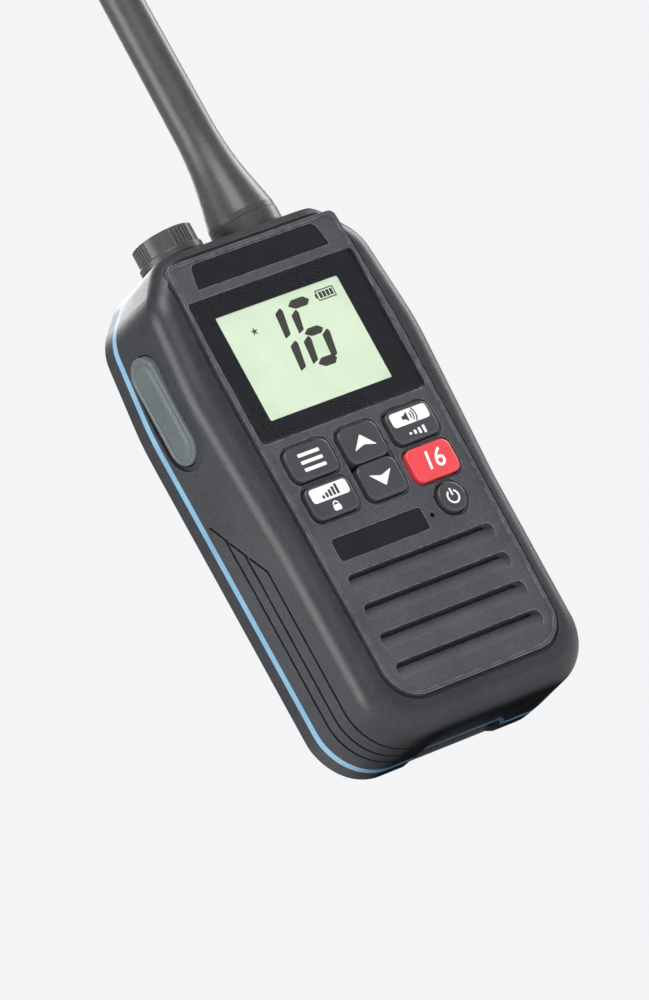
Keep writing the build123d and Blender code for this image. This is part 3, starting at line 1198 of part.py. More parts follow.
def make_cap_seal():
    """Rubber washer under the cap."""
    return washer(JACK_PLACE, CAP_WASHER_RADIUS, JACK_BOSS_Z + WASHER_LIFT,
                  CAP_BASE + WASHER_HEIGHT - WASHER_FIT)


# ------------------------------------------------------------------- battery
def make_pack_cover():
    """Outer half of the battery pack, flush with the back of the case."""
    behind = BACK_DEPTH + CUT_OVER
    cover = pack_box(0, PACK_FRONT + PACK_WALL, BACK_DEPTH)
    cover = fillet(cover.faces().sort_by(Axis.Y)[-1].edges(), PACK_EDGE)
    cover -= pack_box(-PACK_WALL, PACK_FRONT, BACK_DEPTH - PACK_WALL)
    half = THUMB_WIDTH / 2 - THUMB_GAP
    tab_back = BACK_DEPTH - THUMB_GAP
    cover += block((-half, half), (tab_back - THUMB_TAB, tab_back),
                   (PACK_LOW_Z - THUMB_HEIGHT + THUMB_TAB_END, PACK_LOW_Z + PACK_WALL))
    pocket = BACK_DEPTH - CHARGE_SINK - PAD_THICKNESS
    cover -= [peg(x, CONTACT_LOW_Z, CHARGE_RADIUS + PAD_FIT, pocket, behind) for x in (-CHARGE_X, CHARGE_X)]
    return cover - [peg(x, z, CLIP_SCREW_RADIUS + SCREW_FIT, 0, behind) for x, z in clip_screw_places()]


def make_pack_lid():
    """Inner half of the battery pack, which faces the radio."""
    back = PACK_FRONT + PACK_WALL
    lid = pack_box(0, PACK_FRONT, back)
    lip = pack_box(-PACK_WALL - PAD_FIT, PACK_FRONT, back + PACK_LIP)
    lid += lip - pack_box(-PACK_WALL - PAD_FIT - PACK_LIP_WALL, 0, FAR)
    half, height = PAD_HALF[0] + PAD_FIT, PAD_HALF[1] + PAD_FIT
    return lid - [block((x - half, x + half), (0, PACK_FRONT + PAD_THICKNESS),
                        (CONTACT_Z - height, CONTACT_Z + height)) for x in contact_places()]


def make_pack_cell():
    """Flat lithium cell."""
    middle = (PACK_FRONT + BACK_DEPTH) / 2
    z = PACK_LOW_Z + PACK_WALL + CELL_SPACE + CELL_HEIGHT / 2
    width = 2 * (PACK_HALF - PACK_WALL - CELL_BORDER)
    outline = window(0, z, width, CELL_HEIGHT, CELL_CORNER)
    cell = plate(outline, middle - CELL_THICKNESS / 2, middle + CELL_THICKNESS / 2)
    return fillet(cell.edges().filter_by(GeomType.LINE).filter_by(Axis.X), CELL_EDGE)


def make_pack_board():
    """Protection board above the cell."""
    z = PACK_HIGH_Z - PACK_WALL - PACK_BOARD_DROP
    front = PACK_FRONT + PACK_WALL + PACK_BOARD_SPACE
    return block((-PACK_BOARD_HALF, PACK_BOARD_HALF), (front, front + PACK_BOARD_THICKNESS),
                 (z - PACK_BOARD_HEIGHT / 2, z + PACK_BOARD_HEIGHT / 2))


def make_pack_contacts():
    """Plated pads on the pack's inner face."""
    half, height = PAD_HALF
    return [block((x - half, x + half), (PACK_FRONT, PACK_FRONT + PAD_THICKNESS),
                  (CONTACT_Z - height, CONTACT_Z + height)) for x in contact_places()]


def make_charge_contacts():
    """Pads on the outside that meet a charger."""
    back = BACK_DEPTH - CHARGE_SINK
    return [peg(x, CONTACT_LOW_Z, CHARGE_RADIUS, back - PAD_THICKNESS, back) for x in (-CHARGE_X, CHARGE_X)]


def make_case_contacts():
    """Sprung contacts in the pocket floor."""
    half, height = SPRING_HALF
    root = PACK_FRONT - SPRING_REACH
    springs = []
    for x in contact_places():
        spring = block((x - half, x + half), (root, PACK_FRONT - PACK_FIT),
                       (CONTACT_Z - height, CONTACT_Z + height))
        tail = block((x - half, x + half), (root, root + SPRING_TAIL_THICKNESS),
                     (CONTACT_Z - SPRING_TAIL, CONTACT_Z + SPRING_TAIL))
        springs.append(spring + tail)
    return springs


def make_contact_block():
    """Insulator that carries the sprung contacts behind the pocket."""
    half = CONTACT_PITCH * (CONTACT_COUNT - 1) / 2 + BLOCK_BORDER
    back = PACK_FRONT - SPRING_REACH
    return block((-half, half), (back - BLOCK_THICKNESS, back),
                 (CONTACT_Z - BLOCK_HALF_HEIGHT, CONTACT_Z + BLOCK_HALF_HEIGHT))


# ----------------------------------------------------------------- belt clip
def clip_screw_places():
    """Places of the two screws that hold the clip's base."""
    return [(x, CLIP_PIVOT_Z - CLIP_SCREW_DROP) for x in (-CLIP_SCREW_X, CLIP_SCREW_X)]


def along_x(radius, half, middle=0.0):
    """Cylinder along X on the clip's hinge axis, from its middle and half length."""
    plane = Plane(origin=(middle - half, CLIP_PIVOT_Y, CLIP_PIVOT_Z), x_dir=(0, 1, 0), z_dir=(1, 0, 0))
    return extrude(plane * Circle(radius), amount=2 * half)


def make_clip_base():
    """Plate with two ears, screwed to the pack."""
    half = CLIP_WIDTH / 2
    high = CLIP_PIVOT_Z + CLIP_EAR_RADIUS
    base = block((-half, half), (BACK_DEPTH, CLIP_BASE_BACK), (CLIP_PIVOT_Z - CLIP_BASE_BELOW, high))
    ear = block((half - CLIP_EAR, half), (BACK_DEPTH, CLIP_PIVOT_Y), (CLIP_PIVOT_Z - CLIP_EAR_RADIUS, high))
    ear += along_x(CLIP_EAR_RADIUS, CLIP_EAR / 2, half - CLIP_EAR / 2)
    base += mirrored(ear)
    base -= along_x(CLIP_PIN_RADIUS + SCREW_FIT, half + CUT_OVER)
    hole = CLIP_SCREW_RADIUS + CLIP_HOLE_FIT
    return base - [peg(x, z, hole, 0, CLIP_BASE_BACK + CUT_OVER) for x, z in clip_screw_places()]


def make_clip_screws():
    """Two screws that hold the clip's base to the pack."""
    head_back = CLIP_BASE_BACK + CLIP_SCREW_HEAD_HEIGHT
    return [peg(x, z, CLIP_SCREW_RADIUS, BACK_DEPTH - PACK_WALL, CLIP_BASE_BACK)
            + peg(x, z, CLIP_SCREW_HEAD_RADIUS, CLIP_BASE_BACK, head_back) for x, z in clip_screw_places()]


def make_belt_clip():
    """Sprung lever that holds the belt against the pack."""
    half = CLIP_WIDTH / 2
    bend = CLIP_LOW_Z + CLIP_TOE_HEIGHT
    toe = BACK_DEPTH + CLIP_TOE_GAP
    points = [(CLIP_FACE, CLIP_HIGH_Z), (CLIP_BACK, CLIP_HIGH_Z), (CLIP_BACK, bend + CLIP_TOE_GAP),
              (toe + CLIP_TOE_THICKNESS, CLIP_LOW_Z), (toe, CLIP_LOW_Z), (CLIP_FACE, bend)]
    outer_bend, inner_bend = CLIP_BEND_RADII
    radii = [CLIP_EDGE, CLIP_EDGE, outer_bend, CLIP_EDGE, CLIP_EDGE, inner_bend]
    profile = make_face(FilletPolyline(*points, radius=radii, close=True))
    lever = extrude(Plane.YZ * profile, amount=half, both=True)
    middle, height = (CLIP_LOW_Z + CLIP_HIGH_Z) / 2, CLIP_HIGH_Z - CLIP_LOW_Z
    lever &= plate(window(0, middle, CLIP_WIDTH, height, CLIP_CORNER), 0, FAR)
    inner = half - CLIP_EAR - CLIP_EAR_FIT
    radius = CLIP_PIN_RADIUS + CLIP_KNUCKLE_WALL
    knuckle = along_x(radius, inner)
    knuckle += block((-inner, inner), (CLIP_PIVOT_Y, CLIP_FACE + CLIP_KNUCKLE_ROOT),
                     (CLIP_PIVOT_Z - radius, CLIP_PIVOT_Z + radius))
    knuckle -= block((-CLIP_SPRING_HALF, CLIP_SPRING_HALF), (0, CLIP_FACE),
                     (CLIP_PIVOT_Z - CLIP_SPRING_SPACE, CLIP_PIVOT_Z + CLIP_SPRING_SPACE))
    notch = CLIP_EAR_RADIUS + CLIP_EAR_NOTCH
    lever += knuckle
    lever -= mirrored(block((inner, half + CUT_OVER), (0, FAR), (CLIP_PIVOT_Z - notch, CLIP_PIVOT_Z + notch)))
    return lever - along_x(CLIP_PIN_RADIUS + SCREW_FIT, half + CUT_OVER)


def make_clip_pin():
    """Hinge pin of the clip."""
    return along_x(CLIP_PIN_RADIUS, CLIP_WIDTH / 2)


def make_clip_spring():
    """Torsion spring on the hinge pin, with one leg on the base and one on the lever."""
    length = CLIP_COIL_TURNS * CLIP_COIL_PITCH
    coil = Helix(pitch=CLIP_COIL_PITCH, height=length, radius=CLIP_COIL_RADIUS, lefthand=True)
    lever_leg = Line(coil @ 0 - (coil % 0) * CLIP_LEG, coil @ 0)
    base_leg = Line(coil @ 1, coil @ 1 + (coil % 1) * CLIP_SHORT_LEG)
    path = Wire(lever_leg.edges() + coil.edges() + base_leg.edges())
    spring = sweep(Plane(origin=path @ 0, z_dir=path % 0) * Circle(CLIP_WIRE_RADIUS), path=path)
    return Pos(-length / 2, CLIP_PIVOT_Y, CLIP_PIVOT_Z) * Rot(0, 90, 0) * Rot(0, 0, 90) * spring


# ----------------------------------------------------------------- fasteners
def make_case_screws():
    """Screws that draw the two shells together."""
    screws = []
    for x, z in both_sides(CASE_SCREW_PLACES):
        head_back = CASE_SCREW_SEAT + CASE_SCREW_HEAD_HEIGHT
        screw = peg(x, z, CASE_SCREW_RADIUS, -CASE_SCREW_REACH, CASE_SCREW_SEAT)
        screw += peg(x, z, CASE_SCREW_HEAD_RADIUS, CASE_SCREW_SEAT, head_back)
        for turn in (0, 90):
            slot = Pos(x, z) * (Rot(0, 0, turn) * Rectangle(*DRIVE_SLOT))
            screw -= plate(slot, head_back - DRIVE_DEPTH, head_back + CUT_OVER)
        screws.append(screw)
    return screws


# -------------------------------------------------------------------- output
def build_parts():
    """Every node of the radio, by name."""
    parts = {
        "front_case": make_front_case(),
        "case_seal": make_case_seal(),
        "rear_case": make_rear_case(),
        "front_panel": make_front_panel(),
        "name_plate": make_name_plate(),
        "model_plate": make_model_plate(),
        "screen_lens": make_lens(),
        "screen_mask": make_lens_mask(),
        "screen_glass": make_screen_glass(),
        "screen_light": make_screen_light(),
        "screen_holder": make_screen_holder(),
        "key_power": make_power_key(),
        "keypad_mat": make_keypad_mat(),
        "key_switches": make_key_switches(),
        "main_board": make_main_board(),
        "board_chips": make_board_chips(),
        "rf_shield": make_rf_shield(),
        "chassis": make_chassis(),
        "board_screws": make_board_screws(),
        "speaker_frame": make_speaker_frame(),
        "speaker_cone": make_speaker_cone(),
        "speaker_magnet": make_speaker_magnet(),
        "sound_membrane": make_sound_membrane(),
        "microphone": make_microphone(),
        "mic_boot": make_mic_boot(),
        "ptt_pad": make_ptt_pad(),
        "ptt_switch": make_ptt_switch(),
        "ptt_board": make_ptt_board(),
        "antenna_collar": make_antenna_collar(),
        "antenna_socket": make_antenna_socket(),
        "antenna_nut": make_antenna_nut(),
        "antenna_mast": make_antenna_mast(),
        "antenna_core": make_antenna_core(),
        "antenna_seal": make_antenna_seal(),
        "jack_body": make_jack_body(),
        "jack_nut": make_jack_nut(),
        "jack_contacts": make_jack_contacts(),
        "jack_cap": make_jack_cap(),
        "cap_seal": make_cap_seal(),
        "pack_cover": make_pack_cover(),
        "pack_lid": make_pack_lid(),
        "pack_cell": make_pack_cell(),
        "pack_board": make_pack_board(),
        "pack_contacts": make_pack_contacts(),
        "charge_contacts": make_charge_contacts(),
        "case_contacts": make_case_contacts(),
        "contact_block": make_contact_block(),
        "clip_base": make_clip_base(),
        "clip_screws": make_clip_screws(),
        "belt_clip": make_belt_clip(),
        "clip_pin": make_clip_pin(),
        "clip_spring": make_clip_spring(),
        "case_screws": make_case_screws(),
        "lanyard_eye": make_lanyard_eye(),
    }
    for name, x, z in SIDE_KEYS:
        parts[name] = make_key(x, z, KEY_WIDTH, KEY_HEIGHT)
    for name, x, z in ARROW_KEYS:
        parts[name] = make_key(x, z, ARROW_WIDTH, ARROW_HEIGHT)
    return parts


def write_parts():
    """Write one STEP file per node, centred on the Z axis."""
    os.makedirs("parts", exist_ok=True)
    for name, shape in build_parts().items():
        solids = shape if isinstance(shape, list) else [shape]
        moved = [Pos(0, ORIGIN_SHIFT, 0) * solid for solid in solids]
        export_step(moved[0] if len(moved) == 1 else Compound(children=moved), f"parts/{name}.step")


write_parts()
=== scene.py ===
"""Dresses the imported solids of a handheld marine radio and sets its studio."""

import logging
import math
from collections.abc import Sequence
from dataclasses import dataclass
from enum import Enum

import bmesh
import bpy
from mathutils import Matrix, Vector


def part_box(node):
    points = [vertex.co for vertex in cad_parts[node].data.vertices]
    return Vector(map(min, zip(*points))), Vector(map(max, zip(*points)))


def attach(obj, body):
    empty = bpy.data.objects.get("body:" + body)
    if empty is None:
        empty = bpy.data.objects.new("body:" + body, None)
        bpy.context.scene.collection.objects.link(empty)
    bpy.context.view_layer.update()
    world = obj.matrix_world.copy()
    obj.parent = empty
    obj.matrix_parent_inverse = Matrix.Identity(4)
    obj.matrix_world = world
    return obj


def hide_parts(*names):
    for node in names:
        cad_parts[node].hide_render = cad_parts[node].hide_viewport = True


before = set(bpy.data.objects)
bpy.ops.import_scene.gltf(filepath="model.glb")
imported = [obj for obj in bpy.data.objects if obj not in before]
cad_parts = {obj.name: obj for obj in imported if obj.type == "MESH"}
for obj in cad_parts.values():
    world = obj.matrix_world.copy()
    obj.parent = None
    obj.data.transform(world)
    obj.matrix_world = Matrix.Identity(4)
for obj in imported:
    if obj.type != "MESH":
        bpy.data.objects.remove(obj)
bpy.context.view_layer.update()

LOG = logging.getLogger("radio")
MM = 0.001
Rgb = tuple[float, float, float]
Point2 = tuple[float, float]
Point3 = tuple[float, float, float]
Outline = list[Point2]
Value = bpy.types.NodeSocket | float | Rgb | tuple[float, float, float, float] | Vector


# ---------------------------------------------------------------- shader tools
class Graph:
    """Adds and links the nodes of one shader tree."""

    def __init__(self, tree: bpy.types.NodeTree) -> None:
        """Keeps the tree that nodes are added to."""
        self.tree = tree

    def feed(self, socket: bpy.types.NodeSocket, value: Value) -> None:
        """Links a socket into another, or sets its value.

        Args:
            socket: The input to fill.
            value: An output socket, a number or a colour.
        """
        if isinstance(value, bpy.types.NodeSocket):
            self.tree.links.new(value, socket)
        else:
            socket.default_value = value

    def add(self, kind: str, inputs: dict[str | int, Value] | None = None,
            **settings: object) -> bpy.types.Node:
        """Adds a node.

        Args:
            kind: Blender's type name of the node.
            inputs: Values or sockets by input name or number.
            settings: Attributes of the node itself.

        Returns:
            The new node.
        """
        node = self.tree.nodes.new(kind)
        for name, setting in settings.items():
            setattr(node, name, setting)
        for key, value in (inputs or {}).items():
            self.feed(node.inputs[key], value)
        return node

    def maths(self, operation: str, first: Value, second: Value = 0.0,
              clamp: bool = False) -> bpy.types.NodeSocket:
        """Returns the result of a two-input maths node."""
        inputs = {0: first, 1: second}
        return self.add("ShaderNodeMath", inputs, operation=operation, use_clamp=clamp).outputs[0]

    def band(self, value: Value, low: float, high: float) -> bpy.types.NodeSocket:
        """Returns value stretched so that low becomes 0 and high becomes 1, clamped."""
        inputs = {"Value": value, "From Min": low, "From Max": high}
        return self.add("ShaderNodeMapRange", inputs, clamp=True).outputs[0]

    def blend(self, factor: Value, first: Value, second: Value) -> bpy.types.NodeSocket:
        """Returns a mix of two colours."""
        return self.add("ShaderNodeMix", {0: factor, 6: first, 7: second}, data_type="RGBA").outputs[2]

    def local(self) -> bpy.types.NodeSocket:
        """Returns the piece's own coordinates."""
        return self.add("ShaderNodeTexCoord").outputs["Object"]

    def hazy(self, shader: bpy.types.Node, haze: bpy.types.Node, roughness: Value) -> None:
        """Sets a shader's roughness, varied by a haze group."""
        varied = self.maths("ADD", haze.outputs["Offset"], roughness, clamp=True)
        self.feed(shader.inputs["Roughness"], varied)

    def relief(self, shader: bpy.types.Node, height: Value, depth_mm: float, strength: float = 1.0) -> None:
        """Roughens a shader's normal by a height map that is depth_mm deep."""
        inputs = {"Height": height, "Distance": depth_mm * MM, "Strength": strength}
        self.feed(shader.inputs["Normal"], self.add("ShaderNodeBump", inputs).outputs[0])


def rgba(colour: Rgb) -> tuple[float, float, float, float]:
    """Returns a colour with full alpha."""
    return (*colour, 1.0)


class Effect:
    """A shader node group with named inputs and outputs, built once."""

    label = "effect"
    inputs: dict[str, float] = {}
    outputs: tuple[str, ...] = ()

    def fill(self, graph: Graph, start: bpy.types.Node, end: bpy.types.Node) -> None:
        """Adds the group's own nodes between its input and output nodes."""
        raise NotImplementedError

    def tree(self) -> bpy.types.NodeTree:
        """Makes the group's tree on first use.

        Returns:
            The group's tree.
        """
        known = bpy.data.node_groups.get(self.label)
        if known:
            return known
        tree = bpy.data.node_groups.new(self.label, "ShaderNodeTree")
        for name, default in self.inputs.items():
            socket = tree.interface.new_socket(name=name, in_out="INPUT", socket_type="NodeSocketFloat")
            socket.default_value = default
        for name in self.outputs:
            tree.interface.new_socket(name=name, in_out="OUTPUT", socket_type="NodeSocketFloat")
        graph = Graph(tree)
        self.fill(graph, graph.add("NodeGroupInput"), graph.add("NodeGroupOutput"))
        return tree

    def place(self, graph: Graph, **values: float) -> bpy.types.Node:
        """Adds the group to a material.

        Args:
            graph: The material's graph.
            values: The group's inputs, by name with spaces as underscores.

        Returns:
            The group node.
        """
        node = graph.add("ShaderNodeGroup", node_tree=self.tree())
        for name, value in values.items():
            node.inputs[name.replace("_", " ")].default_value = value
        return node


class Grain(Effect):
    """Fine cells of a spark-eroded mould, with slower unevenness under them."""

    label = "moulded_grain"
    inputs = {"Scale": 2500.0}
    outputs = ("Height", "Fleck")
    slower = 0.41
    cell_share = 0.65
    noise_share = 0.55
    fleck_band = (0.42, 0.68)

    def fill(self, graph: Graph, start: bpy.types.Node, end: bpy.types.Node) -> None:
        """Mixes cells and noise into a height and a colour mask.

        Args:
            graph: The group's graph.
            start: The group's input node.
            end: The group's output node.
        """
        place = graph.local()
        scale = start.outputs["Scale"]
        cells = graph.add("ShaderNodeTexVoronoi", {"Vector": place, "Scale": scale}, feature="SMOOTH_F1")
        slower = graph.maths("MULTIPLY", scale, self.slower)
        noise = graph.add("ShaderNodeTexNoise", {"Vector": place, "Scale": slower, "Detail": 4.0})
        cell_part = graph.maths("MULTIPLY", cells.outputs["Distance"], self.cell_share)
        noise_part = graph.maths("MULTIPLY", noise.outputs[0], self.noise_share)
        graph.feed(end.inputs["Height"], graph.maths("ADD", cell_part, noise_part))
        graph.feed(end.inputs["Fleck"], graph.band(noise.outputs[0], *self.fleck_band))


class EdgeWear(Effect):
    """Mask of the outer edges, broken up as handling breaks it up."""

    label = "edge_wear"
    inputs = {"Radius": 0.0004, "Amount": 0.5, "Scale": 700.0}
    outputs = ("Mask",)
    turn_band = (0.01, 0.22)
    break_band = (0.35, 0.62)

    def fill(self, graph: Graph, start: bpy.types.Node, end: bpy.types.Node) -> None:
        """Compares the surface's normal with a rounded one.

        Args:
            graph: The group's graph.
            start: The group's input node.
            end: The group's output node.
        """
        rounded = graph.add("ShaderNodeBevel", {"Radius": start.outputs["Radius"]}, samples=4)
        flat = graph.add("ShaderNodeNewGeometry").outputs["Normal"]
        facing = graph.add("ShaderNodeVectorMath", {0: rounded.outputs[0], 1: flat}, operation="DOT_PRODUCT")
        turn = graph.maths("SUBTRACT", 1.0, facing.outputs["Value"], clamp=True)
        edge = graph.band(turn, *self.turn_band)
        inputs = {"Vector": graph.local(), "Scale": start.outputs["Scale"], "Detail": 5.0}
        noise = graph.add("ShaderNodeTexNoise", inputs).outputs[0]
        broken = graph.maths("MULTIPLY", edge, graph.band(noise, *self.break_band))
        graph.feed(end.inputs["Mask"], graph.maths("MULTIPLY", broken, start.outputs["Amount"], clamp=True))


class Haze(Effect):
    """Slow cloudy change that handling and damp leave in a surface's gloss."""

    label = "handling_haze"
    inputs = {"Scale": 90.0, "Spread": 0.1}
    outputs = ("Offset", "Cloud")
    middle = 0.5
    cloud_band = (0.38, 0.66)

    def fill(self, graph: Graph, start: bpy.types.Node, end: bpy.types.Node) -> None:
        """Centres noise on zero and scales it.

        Args:
            graph: The group's graph.
            start: The group's input node.
            end: The group's output node.
        """
        inputs = {"Vector": graph.local(), "Scale": start.outputs["Scale"], "Detail": 6.0, "Roughness": 0.62}
        noise = graph.add("ShaderNodeTexNoise", inputs).outputs[0]
        centred = graph.maths("SUBTRACT", noise, self.middle)
        graph.feed(end.inputs["Offset"], graph.maths("MULTIPLY", centred, start.outputs["Spread"]))
        graph.feed(end.inputs["Cloud"], graph.band(noise, *self.cloud_band))


# -------------------------------------------------------------------- finishes
def new_material(name: str) -> tuple[bpy.types.Material, Graph, bpy.types.Node]:
    """Makes an empty material.

    Args:
        name: The material's name.

    Returns:
        The material, its graph and its Principled shader.
    """
    material = bpy.data.materials.new(name)
    material.use_nodes = True
    material.node_tree.nodes.clear()
    graph = Graph(material.node_tree)
    shader = graph.add("ShaderNodeBsdfPrincipled")
    output = graph.add("ShaderNodeOutputMaterial")
    graph.feed(output.inputs["Surface"], shader.outputs[0])
    return material, graph, shader


@dataclass(frozen=True)
class Moulded:
    """Moulded plastic or rubber with a grain, haze and worn edges."""

    name: str
    base: Rgb
    fleck: Rgb
    roughness: float
    haze: float = 0.14
    grain_mm: float = 0.30
    grain_height_mm: float = 0.020
    worn: Rgb = (0.16, 0.165, 0.17)
    wear: float = 0.35
    specular: float = 0.5
    sheen: float = 0.0
    fleck_share: float = 0.5
    cloud_share: float = 0.35
    polish: float = -0.12

    def material(self) -> bpy.types.Material:
        """Builds the moulded skin.

        Returns:
            The finished material.
        """
        material, graph, shader = new_material(self.name)
        grain = Grain().place(graph, Scale=1.0 / (self.grain_mm * MM))
        haze = Haze().place(graph, Spread=self.haze)
        wear = EdgeWear().place(graph, Amount=self.wear)
        fleck = graph.maths("MULTIPLY", grain.outputs["Fleck"], self.fleck_share)
        cloud = graph.maths("MULTIPLY", haze.outputs["Cloud"], self.cloud_share)
        clouded = graph.maths("ADD", fleck, cloud, clamp=True)
        skin = graph.blend(clouded, rgba(self.base), rgba(self.fleck))
        colour = graph.blend(wear.outputs["Mask"], skin, rgba(self.worn))
        graph.feed(shader.inputs["Base Color"], colour)
        rough = graph.maths("ADD", haze.outputs["Offset"], self.roughness)
        polished = graph.maths("MULTIPLY", wear.outputs["Mask"], self.polish)
        graph.feed(shader.inputs["Roughness"], graph.maths("ADD", rough, polished, clamp=True))
        graph.relief(shader, grain.outputs["Height"], self.grain_height_mm)
        shader.inputs["Specular IOR Level"].default_value = self.specular
        shader.inputs["Sheen Weight"].default_value = self.sheen
        return material


@dataclass(frozen=True)
class Metal:
    """Turned, rolled or cast metal with fine streaks along one axis."""

    name: str
    base: Rgb
    dull: Rgb
    roughness: float
    streak_mm: float = 0.12
    stretch: float = 14.0
    depth_mm: float = 0.004
    cloud_share: float = 0.5
    polish: float = -0.1

    def material(self) -> bpy.types.Material:
        """Builds the streaked metal.

        Returns:
            The finished material.
        """
        material, graph, shader = new_material(self.name)
        mapping = graph.add("ShaderNodeMapping", {"Vector": graph.local(), "Scale": (1.0, 1.0, self.stretch)})
        scale = 1.0 / (self.streak_mm * self.stretch * MM)
        inputs = {"Vector": mapping.outputs[0], "Scale": scale, "Detail": 3.0}
        streaks = graph.add("ShaderNodeTexNoise", inputs).outputs[0]
        haze = Haze().place(graph, Spread=0.16, Scale=140.0)
        wear = EdgeWear().place(graph, Amount=0.4)
        cloud = graph.maths("MULTIPLY", haze.outputs["Cloud"], self.cloud_share)
        graph.feed(shader.inputs["Base Color"], graph.blend(cloud, rgba(self.base), rgba(self.dull)))
        rough = graph.maths("ADD", haze.outputs["Offset"], self.roughness)
        polished = graph.maths("MULTIPLY", wear.outputs["Mask"], self.polish)
        graph.feed(shader.inputs["Roughness"], graph.maths("ADD", rough, polished, clamp=True))
        graph.relief(shader, streaks, self.depth_mm, 0.8)
        shader.inputs["Metallic"].default_value = 1.0
        return material


@dataclass(frozen=True)
class Seal:
    """Coloured silicone ring with a dark joint line along each edge."""

    name: str
    base: Rgb
    deep: Rgb
    joint: Rgb
    front_y: float
    back_y: float
    line: float
    fade: float = 0.4
    roughness: float = 0.42
    depth_mm: float = 0.008

    def material(self) -> bpy.types.Material:
        """Builds the silicone and its joint lines.

        Returns:
            The finished material.
        """
        material, graph, shader = new_material(self.name)
        depth = graph.add("ShaderNodeSeparateXYZ", {0: graph.local()}).outputs["Y"]
        front = graph.band(depth, self.front_y + self.line, self.front_y + self.line * self.fade)
        back = graph.band(depth, self.back_y - self.line, self.back_y - self.line * self.fade)
        edge = graph.maths("MAXIMUM", front, back)
        haze = Haze().place(graph, Spread=0.16)
        grain = Grain().place(graph, Scale=3600.0)
        skin = graph.blend(haze.outputs["Cloud"], rgba(self.base), rgba(self.deep))
        graph.feed(shader.inputs["Base Color"], graph.blend(edge, skin, rgba(self.joint)))
        graph.hazy(shader, haze, self.roughness)
        graph.relief(shader, grain.outputs["Height"], self.depth_mm)
        return material


@dataclass(frozen=True)
class Gloss:
    """Smooth print or polished plastic that shows light smears, with an optional painted glow that stands in
    for lamp light.
    """

    name: str
    base: Rgb
    smear: Rgb
    roughness: float = 0.12
    painted_glow: float = 0.0
    specular: float = 0.5
    depth_mm: float = 0.0015
    cloud_share: float = 0.5

    def material(self) -> bpy.types.Material:
        """Builds the smooth skin.

        Returns:
            The finished material.
        """
        material, graph, shader = new_material(self.name)
        haze = Haze().place(graph, Spread=0.10, Scale=160.0)
        grain = Grain().place(graph, Scale=5200.0)
        cover = graph.maths("MULTIPLY", haze.outputs["Cloud"], self.cloud_share)
        colour = graph.blend(cover, rgba(self.base), rgba(self.smear))
        graph.feed(shader.inputs["Base Color"], colour)
        graph.hazy(shader, haze, self.roughness)
        graph.relief(shader, grain.outputs["Height"], self.depth_mm, 0.6)
        shader.inputs["Specular IOR Level"].default_value = self.specular
        # Painted light: the surface emits its own colour so that the display looks lit, standing in for lamp
        # light that its glass window stops.
        if self.painted_glow:
            graph.feed(shader.inputs["Emission Color"], colour)
            shader.inputs["Emission Strength"].default_value = self.painted_glow
        return material


@dataclass(frozen=True)
class Window:
    """Clear hard-coated window."""

    name: str
    roughness: float = 0.08
    clean: Rgb = (0.97, 0.98, 0.98)
    smeared: Rgb = (0.93, 0.95, 0.95)
    refraction: float = 1.28

    def material(self) -> bpy.types.Material:
        """Builds the clear coat.

        Returns:
            The finished material.
        """
        material, graph, shader = new_material(self.name)
        haze = Haze().place(graph, Spread=0.02, Scale=120.0)
        tint = graph.blend(haze.outputs["Cloud"], rgba(self.clean), rgba(self.smeared))
        graph.feed(shader.inputs["Base Color"], tint)
        graph.hazy(shader, haze, self.roughness)
        shader.inputs["Transmission Weight"].default_value = 1.0
        shader.inputs["IOR"].default_value = self.refraction
        return material


@dataclass(frozen=True)
class Membrane:
    """Woven black sound cloth."""

    name: str
    thread: Rgb
    gap: Rgb
    pitch_mm: float = 0.35
    depth_mm: float = 0.04
    roughness: float = 0.75
    waves_per_unit: float = 20.0

    def material(self) -> bpy.types.Material:
        """Builds the weave.

        Returns:
            The finished material.
        """
        material, graph, shader = new_material(self.name)
        scale = 1.0 / (self.pitch_mm * MM)
        inputs = {"Vector": graph.local(), "Scale": scale / self.waves_per_unit}
        across = graph.add("ShaderNodeTexWave", inputs, bands_direction="X")
        along = graph.add("ShaderNodeTexWave", inputs, bands_direction="Z")
        weave = graph.maths("MULTIPLY", across.outputs["Fac"], along.outputs["Fac"])
        graph.feed(shader.inputs["Base Color"], graph.blend(weave, rgba(self.gap), rgba(self.thread)))
        varied = graph.maths("ADD", graph.maths("MULTIPLY", weave, 0.1), self.roughness)
        graph.feed(shader.inputs["Roughness"], varied)
        graph.relief(shader, weave, self.depth_mm)
        return material


class Finish(Enum):
    """Every finish of the radio."""

    CASE = "case"
    PANEL = "panel"
    PLATE = "plate"
    KEY = "key"
    KEY_RED = "key_red"
    PAD = "pad"
    ANTENNA = "antenna"
    SEAL = "seal"
    LENS = "lens"
    MASK = "mask"
    SCREEN = "screen"
    SEGMENT = "segment"
    LEGEND = "legend"
    LEGEND_DARK = "legend_dark"
    MEMBRANE = "membrane"
    RUBBER = "rubber"
    BOARD = "board"
    CHIP = "chip"
    STEEL = "steel"
    TIN = "tin"
    CAST = "cast"
    BRASS = "brass"
    HOLDER = "holder"
    CELL = "cell"


